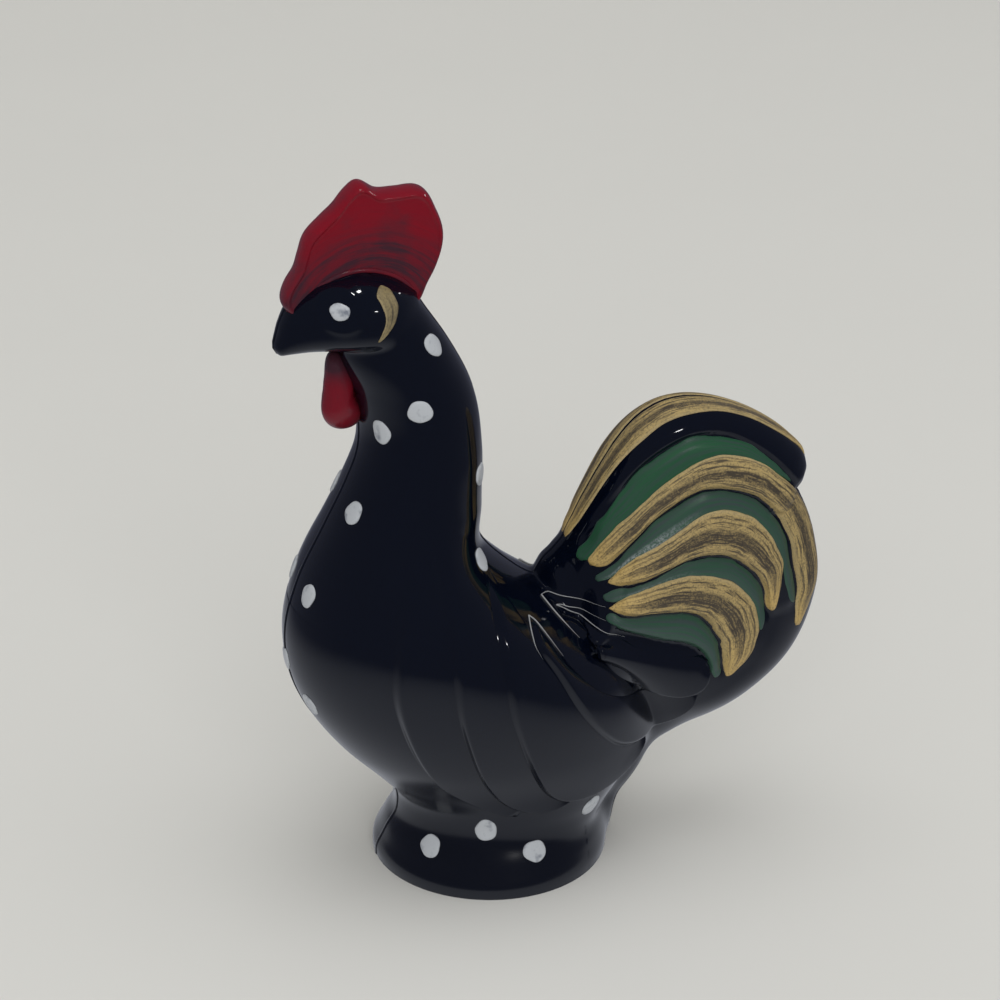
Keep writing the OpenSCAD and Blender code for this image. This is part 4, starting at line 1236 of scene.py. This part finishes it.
class Graph:
    """A node tree that is filled by calls."""

    def __init__(self, tree: bpy.types.NodeTree) -> None:
        """Empties the tree."""
        self.tree = tree
        self.tree.nodes.clear()

    def node(
        self, kind: str, settings: dict | None = None, inputs: dict | None = None, output: int | str = 0
    ) -> Wire:
        """Adds any node.

        Args:
            kind: The node's type without its prefix.
            settings: Properties that are set first; "stops" fills a colour ramp.
            inputs: Values or wires by the socket's name or number.
            output: The output to hand on.

        Returns:
            The chosen output.
        """
        made = self.tree.nodes.new("ShaderNode" + kind)
        for key, value in (settings or {}).items():
            if key == "stops":
                self._stops(made.color_ramp.elements, value)
            else:
                setattr(made, key, value)
        for key, value in (inputs or {}).items():
            if isinstance(value, Wire):
                self.tree.links.new(value.socket, made.inputs[key])
            else:
                made.inputs[key].default_value = value
        return Wire(self, made.outputs[output])

    @staticmethod
    def _stops(elements: bpy.types.ColorRampElements, stops: tuple[Span, ...]) -> None:
        """Fills a ramp with places and grey levels."""
        while len(elements) < len(stops):
            elements.new(0.5)
        for element, (place, level) in zip(elements, stops):
            element.position = place
            element.color = (level, level, level, 1)

    def place(self) -> Wire:
        """Object coordinates."""
        return self.node("TexCoord", output="Object")

    def brush(self) -> Wire:
        """The piece's own UV: the way along in centimetres, and the place across."""
        return self.node("UVMap", {"uv_map": "Brush"})

    def ray(self, kind: str) -> Wire:
        """One where the ray is of this kind, else zero."""
        return self.node("LightPath", output=f"Is {kind} Ray")

    def parts(self, vector: Wire) -> tuple[Wire, Wire, Wire]:
        """The three numbers of a vector."""
        split = self.node("SeparateXYZ", inputs={0: vector})
        return tuple(Wire(self, socket) for socket in split.socket.node.outputs)

    def vector(self, x: Wire | float, y: Wire | float, z: Wire | float) -> Wire:
        """A vector from three numbers."""
        return self.node("CombineXYZ", inputs={0: x, 1: y, 2: z})

    def noise(self, at: Wire, scale: float, detail: float = 2.0, rough: float = 0.5) -> Wire:
        """Cloud noise from 0 to 1."""
        inputs = {"Vector": at, "Scale": scale, "Detail": detail, "Roughness": rough}
        return self.node("TexNoise", inputs=inputs)

    def flakes(self, at: Wire) -> Wire:
        """The fine grain of flakes in gold and green."""
        return self.noise(at, FLAKE_SCALE, 2, 0.7)

    def ramp(self, value: Wire, *stops: Span) -> Wire:
        """A value sent through a grey ramp."""
        return self.node("ValToRGB", {"stops": stops}, {0: value})

    def soft_step(self, value: Wire, lo: float, hi: float) -> Wire:
        """Smooth step of a value from 0 at lo to 1 at hi."""
        inputs = {"Value": value, "From Min": lo, "From Max": hi}
        return self.node("MapRange", {"interpolation_type": "SMOOTHSTEP"}, inputs)

    def blend(self, factor: Wire, a: Wire | Colour, b: Wire | Colour) -> Wire:
        """Mix of two colours."""
        first, second = [c if isinstance(c, Wire) else (*c, 1.0) for c in (a, b)]
        return self.node("Mix", {"data_type": "RGBA"}, {0: factor, 6: first, 7: second}, 2)

    def bump(self, height: Wire, strength: float, distance: float) -> Wire:
        """A bumped normal."""
        return self.node("Bump", inputs={"Height": height, "Strength": strength, "Distance": distance})

    def close(self, kind: str, shader: Wire) -> None:
        """Links a shader to a new output node of this kind."""
        out = self.tree.nodes.new("ShaderNodeOutput" + kind)
        self.tree.links.new(shader.socket, out.inputs["Surface"])


class Finish(Graph):
    """A procedural material that ends in one Principled shader."""

    def __init__(self, name: str) -> None:
        """Starts an empty material of this name."""
        self.material = bpy.data.materials.new(name)
        self.material.use_nodes = True
        super().__init__(self.material.node_tree)

    def done(self, **sockets: Wire | float | Colour) -> bpy.types.Material:
        """Feeds the Principled shader, by socket names with underscores, and closes the material."""
        inputs = {"IOR": IOR}
        for key, value in sockets.items():
            name = key.replace("_", " ").title().replace("Ior", "IOR")
            inputs[name] = (*value, 1.0) if isinstance(value, tuple) else value
        self.close("Material", self.node("BsdfPrincipled", inputs=inputs))
        return self.material


@dataclass(frozen=True)
class BlackGlass:
    """Opaque black glass, fire-polished: faintly wavy, with duller patches and a softer sheen low down."""

    name: str = "black_glass"
    colour: Colour = (0.001, 0.002, 0.006)
    rough: float = 0.06
    patch_rough: float = 0.06
    patch_scale: float = 90.0
    low_rough: float = 0.15
    low: Span = (0.014, 0.036)
    wave_scale: float = 160.0
    wave: float = 0.05
    wave_high: float = 0.0004

    def make(self) -> bpy.types.Material:
        """The material."""
        f = Finish(self.name)
        at = f.place()
        _, _, z = f.parts(at)
        patch = f.ramp(f.noise(at, self.patch_scale, 3), (0.45, 0), (0.75, 1))
        low = 1.0 - f.soft_step(z, *self.low)
        rough = self.rough + self.patch_rough * patch + self.low_rough * low
        wave = f.bump(f.noise(at, self.wave_scale, 1), self.wave, self.wave_high)
        return f.done(base_color=self.colour, roughness=rough, normal=wave)


@dataclass(frozen=True)
class RedEnamel:
    """Glossy red enamel, brushed in arcs over black, thin where the brush ran dry, with painted shade on the
    wattle's top under the jaw.
    """

    bright: Colour = (0.185, 0.003, 0.01)
    deep: Colour = (0.045, 0.014, 0.022)
    # Middle of the brush's arcs and their reach in millimetres
    arcs_x: float = -14.0
    arcs_z: float = 71.0
    arcs_r: float = 16.0
    # Heights over which the wattle's top turns deep red as painted shade under the jaw, and over which that
    # shade gives way to the comb
    under_jaw_shade: Span = (0.0635, 0.0665)
    comb: Span = (0.07, 0.074)
    patch_scale: float = 260.0
    gloss: float = 0.35

    def make(self) -> bpy.types.Material:
        """The material: bands of equal distance from the crown, broken by noise."""
        f = Finish("red_enamel")
        at = f.place()
        x, _, z = f.parts(at)
        dx, dz = x * MM_PER_M - self.arcs_x, z * MM_PER_M - self.arcs_z
        away = (dx * dx + dz * dz) ** 0.5
        turn = f.node("Math", {"operation": "ARCTAN2"}, {0: dz, 1: dx})
        lines = f.noise(f.vector(away * 1.1, turn * 0.8, 0.0), 1.6, 4, 0.6)
        zone = f.ramp(away / self.arcs_r, (0.3, 0), (0.48, 1), (0.62, 0.75), (0.8, 0.15))
        patch = f.noise(at, self.patch_scale, 3)
        comb = f.soft_step(z, *self.comb)
        arcs = zone * comb * (0.55 + 0.6 * f.ramp(lines, (0.42, 0), (0.62, 1)))
        # The wattle is a little darker all over, and towards its top under the jaw it turns deep red: painted
        # shade
        under_jaw_shade = (0.3 + 0.7 * f.soft_step(z, *self.under_jaw_shade)) * (1.0 - comb)
        thin = (arcs + under_jaw_shade + f.ramp(patch, (0.5, 0), (0.8, 0.5))).least(1.0)
        return f.done(
            base_color=f.blend(thin, self.bright, self.deep),
            roughness=0.12 + 0.12 * patch,
            specular_ior_level=self.gloss,
            normal=f.bump(lines, 0.12, 0.0003),
        )


@dataclass(frozen=True)
class GoldEnamel:
    """Mustard gold enamel with fine flakes, full at a stroke's ends and worn to streaks along its middle."""

    name: str = "gold_enamel"
    full: Colour = (0.46, 0.32, 0.11)
    worn: Colour = (0.26, 0.205, 0.095)
    dark: Colour = (0.03, 0.024, 0.02)
    pale: Colour = (0.44, 0.35, 0.19)
    lane: float = 0.08

    def make(self) -> bpy.types.Material:
        """The material: a dark lane along the middle, long streaks beside it, flakes and a pale outline."""
        f = Finish(self.name)
        u, v, _ = f.parts(f.brush())
        body = f.ramp(u, (0.1, 0), (0.6, 1))
        streak = f.noise(f.vector(u * 0.6, v * 2.6, 0.0), 1.8, 4, 0.6)
        fine = f.noise(f.vector(u, v * 3.2, 3.0), 2.0, 5, 0.68)
        flake = f.flakes(f.place())
        edge = f.ramp(abs(v), (0.8, 0), (0.94, 1))
        aside = abs(v - self.lane + (streak - 0.5) * 0.9)
        lane = f.ramp(aside / (0.07 + 0.32 * body), (0.3, 1), (1, 0)) * f.ramp(u, (0.06, 0), (0.2, 1))
        worn_off = lane * f.ramp(fine * 0.8 + flake * 0.2, (0.43, 1), (0.59, 0.1))
        lines = f.ramp(fine, (0.49, 0), (0.57, 1)) * mix(0.3, 1.0, body)
        grain = f.ramp(flake, (0.34, 1), (0.5, 0))
        glint = f.ramp(flake, (0.5, 0), (0.7, 1))
        base = f.blend(body * 0.65, self.full, self.worn)
        base = f.blend(glint * 0.6, base, self.full)
        base = f.blend(grain * 0.5, base, self.dark)
        base = f.blend((worn_off * 0.9 + lines * 0.85).least(0.92) * (1.0 - edge), base, self.dark)
        height = flake * 0.35 - worn_off * 0.4 - lines * 0.5
        return f.done(
            base_color=f.blend(edge * 0.4, base, self.pale),
            roughness=0.38 + 0.16 * flake,
            normal=f.bump(height, 0.35, 0.0001),
        )


@dataclass(frozen=True)
class GreenEnamel:
    """Dark green enamel with fine brush lines, bluish where it is thin, and on some feathers a painted pale
    sheen broken into flakes.
    """

    name: str = "green_enamel"
    full: Colour = (0.022, 0.07, 0.04)
    thin: Colour = (0.034, 0.055, 0.052)
    painted_sheen: Colour = (0.24, 0.27, 0.27)
    sheen_strength: float = 0.0
    # Where the painted sheen fades out, in x
    sheen_end: Span = (0.019, 0.026)

    def make(self) -> bpy.types.Material:
        """The material, with a painted pale sheen, broken into flakes, along the lower edge near the root
        where asked for.
        """
        f = Finish(self.name)
        u, v, _ = f.parts(f.brush())
        at = f.place()
        x, _, _ = f.parts(at)
        lines = f.noise(f.vector(u * 0.6, v * 2.6, 7.0), 2.2, 4, 0.6)
        flake = f.flakes(at)
        colour = f.blend(f.ramp(lines, (0.4, 0), (0.62, 1)), self.full, self.thin)
        # Painted sheen: a pale strip along the lower half of the stroke, away from its ends and near the root
        strip = f.ramp(v, (0.1, 0), (0.5, 1)) * f.ramp(u, (0.05, 0), (0.3, 1))
        strip = strip * (1.0 - f.soft_step(x, *self.sheen_end))
        painted_sheen = strip * f.ramp(flake * 0.7 + lines * 0.3, (0.42, 0.1), (0.58, 1))
        return f.done(
            base_color=f.blend(painted_sheen * self.sheen_strength, colour, self.painted_sheen),
            roughness=0.26 + 0.14 * flake,
            normal=f.bump(lines + flake * 0.3, 0.2, 0.0001),
        )


@dataclass(frozen=True)
class WhiteEnamel:
    """White enamel dabs, thin in places so that grey shows through."""

    full: Colour = (0.41, 0.43, 0.455)
    thin: Colour = (0.15, 0.165, 0.2)
    patch_scale: float = 620.0

    def make(self) -> bpy.types.Material:
        """The material."""
        f = Finish("white_enamel")
        patch = f.noise(f.place(), self.patch_scale, 3, 0.6)
        return f.done(
            base_color=f.blend(f.ramp(patch, (0.54, 0), (0.74, 1)), self.full, self.thin),
            roughness=0.2 + 0.2 * patch,
            normal=f.bump(patch, 0.2, 0.0001),
        )


class Lit(Enum):
    """What a lamp does: it gives plain light, or it only shows in gloss."""

    PLAIN = auto()
    GLINT = auto()


@dataclass(frozen=True)
class Lamp(ABC):
    """A lamp of any kind, in metres and watts."""

    name: str
    place: Place
    aim: Place
    watts: float
    lit: Lit

    @abstractmethod
    def source(self) -> bpy.types.Light:
        """The lamp's own kind of light."""

    def hang(self) -> None:
        """Hangs the lamp at its place, turned to its aim."""
        data = self.source()
        data.energy = self.watts
        lamp = shown(self.name, data)
        lamp.location = self.place
        lamp.rotation_euler = (Vector(self.aim) - Vector(self.place)).to_track_quat("-Z", "Y").to_euler()
        lamp.visible_glossy = self.lit is Lit.GLINT
        lamp.visible_diffuse = self.lit is Lit.PLAIN


@dataclass(frozen=True)
class Panel(Lamp):
    """A rectangular lamp of two sides."""

    size: Span

    def source(self) -> bpy.types.Light:
        """The lamp's rectangle."""
        data = bpy.data.lights.new(self.name, "AREA")
        data.shape = "RECTANGLE"
        data.size, data.size_y = self.size
        return data


@dataclass(frozen=True)
class Spot(Lamp):
    """A round lamp with a narrow beam."""

    radius: float
    degrees: float
    soft: float

    def source(self) -> bpy.types.Light:
        """The lamp's beam."""
        data = bpy.data.lights.new(self.name, "SPOT")
        data.spot_size = math.radians(self.degrees)
        data.spot_blend = self.soft
        data.shadow_soft_size = self.radius
        return data


@dataclass
class Studio:
    """Pale sweep, soft light and the camera of the photograph's view."""

    azimuth: float = -15.0
    elevation: float = 25.0
    away: float = 0.4
    focal_px: float = 3360.0
    image_px: float = 1000.0
    sensor_mm: float = 36.0
    clip: Span = (0.01, 20.0)
    # Sweep in metres: stations of its level part in y, then a quarter turn, then an upright part
    level: tuple[float, ...] = (-1.2, -0.6, -0.3, 0.2)
    bend_from: float = 0.42
    bend_r: float = 0.25
    bend_points: int = 24
    top: float = 1.2
    half_wide: float = 1.6
    floor_colour: Colour = (0.64, 0.635, 0.607)
    floor_shade: float = 0.97
    floor_scale: float = 14.0
    floor_gloss: Colour = (0.5, 0.52, 0.57)
    # Over which distance from the middle and which height the floor's glow turns into the room's
    glow_away: Span = (0.015, 0.17)
    glow_up: Span = (0.02, 0.3)
    room_light: Colour = (0.74, 0.74, 0.74)
    room_gloss: Colour = (0.1, 0.105, 0.14)
    room_shown: Colour = (0.57, 0.56, 0.535)
    lamps: tuple[Lamp, ...] = (
        Panel("overhead", (0.05, 0.02, 0.85), TARGET, 1.6, Lit.PLAIN, (0.7, 0.6)),
        Panel("front", (-0.15, -0.85, 0.55), TARGET, 3.4, Lit.PLAIN, (0.7, 0.5)),
        Spot("glint_head", (-0.031, -0.002, 0.22), HEAD, 0.09, Lit.GLINT, 0.008, 9.0, 0.3),
        Panel("glint_front", (0.15, -0.55, 0.55), TARGET, 0.25, Lit.GLINT, (0.07, 0.03)),
        Panel("glint_back", (0.6, 0.3, 0.42), TARGET, 0.3, Lit.GLINT, (0.06, 0.04)),
    )

    def camera(self) -> None:
        """Camera on the line of view, looking at the target."""
        a, e = math.radians(self.azimuth), math.radians(self.elevation)
        back = Vector((math.sin(a) * math.cos(e), -math.cos(a) * math.cos(e), math.sin(e)))
        data = bpy.data.cameras.new("camera")
        data.sensor_width = self.sensor_mm
        data.lens = self.focal_px / self.image_px * self.sensor_mm
        data.clip_start, data.clip_end = self.clip
        camera = shown("camera", data)
        camera.location = Vector(TARGET) + back * self.away
        camera.rotation_euler = (-back).to_track_quat("-Z", "Y").to_euler()
        bpy.context.scene.camera = camera

    def paper(self) -> bpy.types.Material:
        """Pale matt paper that shows in gloss only as a painted glow: bright near the foot, and as the room
        farther off.
        """
        f = Finish("pale_sweep")
        at = f.place()
        x, y, z = f.parts(at)
        shade = tuple(c * self.floor_shade for c in self.floor_colour)
        colour = f.blend(f.noise(at, self.floor_scale, 3), self.floor_colour, shade)
        glossy = f.ray("Glossy")
        far = f.soft_step((x * x + y * y) ** 0.5, *self.glow_away).most(f.soft_step(z, *self.glow_up))
        black = (0.0, 0.0, 0.0)
        made = f.done(
            base_color=f.blend(glossy, colour, black),
            roughness=1.0,
            specular_ior_level=0.0,
            emission_color=f.blend(glossy, black, f.blend(far, self.floor_gloss, self.room_gloss)),
            emission_strength=1.0,
        )
        made.cycles.emission_sampling = "NONE"
        return made

    def sweep(self) -> None:
        """Floor that curves up into a backdrop."""
        turn = np.linspace(0, np.pi / 2, self.bend_points)
        back = self.bend_from + self.bend_r
        y = np.concatenate([self.level, self.bend_from + self.bend_r * np.sin(turn), [back]])
        z = np.concatenate([np.zeros(len(self.level)), self.bend_r * (1 - np.cos(turn)), [self.top]])
        x = np.array([-self.half_wide, self.half_wide])
        points = np.stack(np.broadcast_arrays(x[None], y[:, None], z[:, None]), -1)
        k = 2 * np.arange(len(y) - 1)
        faces = np.stack([k, k + 1, k + 3, k + 2], -1)
        shown("sweep", smooth_mesh("sweep", points.reshape(-1, 3), faces, self.paper()))

    def light(self) -> None:
        """A soft room that is dark in gloss, two broad lamps for plain light, and small ones for glints."""
        world = bpy.data.worlds.new("room")
        bpy.context.scene.world = world
        world.use_nodes = True
        g = Graph(world.node_tree)
        colour = g.blend(g.ray("Glossy"), self.room_light, self.room_gloss)
        colour = g.blend(g.ray("Camera"), colour, self.room_shown)
        g.close("World", g.node("Background", inputs={"Color": colour, "Strength": 1.0}))
        for lamp in self.lamps:
            lamp.hang()

    def build(self) -> None:
        """Everything around the figurine."""
        self.camera()
        self.sweep()
        self.light()
        bpy.context.scene.view_settings.view_transform = "Standard"


def main() -> None:
    """Builds the figurine's pieces in order, then the studio."""
    logging.basicConfig(level=logging.INFO, format="%(message)s")
    glass = Casting()
    black = BlackGlass().make()
    glass.skin().placed("glass_casting", "glass_body", "black_glass", black)
    # Pale grey glass for the wing's ridges: a painted highlight along each
    ridge_highlight = BlackGlass("black_glass_painted_highlight", colour=(0.3, 0.305, 0.31), rough=0.2).make()
    Wing(glass).build(black, ridge_highlight)
    Crown(glass).build(RedEnamel().make())
    dull = GoldEnamel("gold_enamel_dull", full=(0.23, 0.18, 0.085), worn=(0.05, 0.042, 0.03), lane=0.0).make()
    greens = [GreenEnamel("green_enamel_1", full=(0.012, 0.074, 0.03), thin=(0.026, 0.06, 0.044)).make()]
    # The second and third green feathers carry a painted sheen, strongest on the second
    greens += [GreenEnamel(f"green_enamel_{k}", sheen_strength=s).make() for k, s in enumerate((0.75, 0.3, 0.0), 2)]
    Brush(glass).build(GoldEnamel().make(), dull, greens)
    Dabs(glass).build(WhiteEnamel().make())
    Studio().build()


if __name__ == "__main__":
    main()
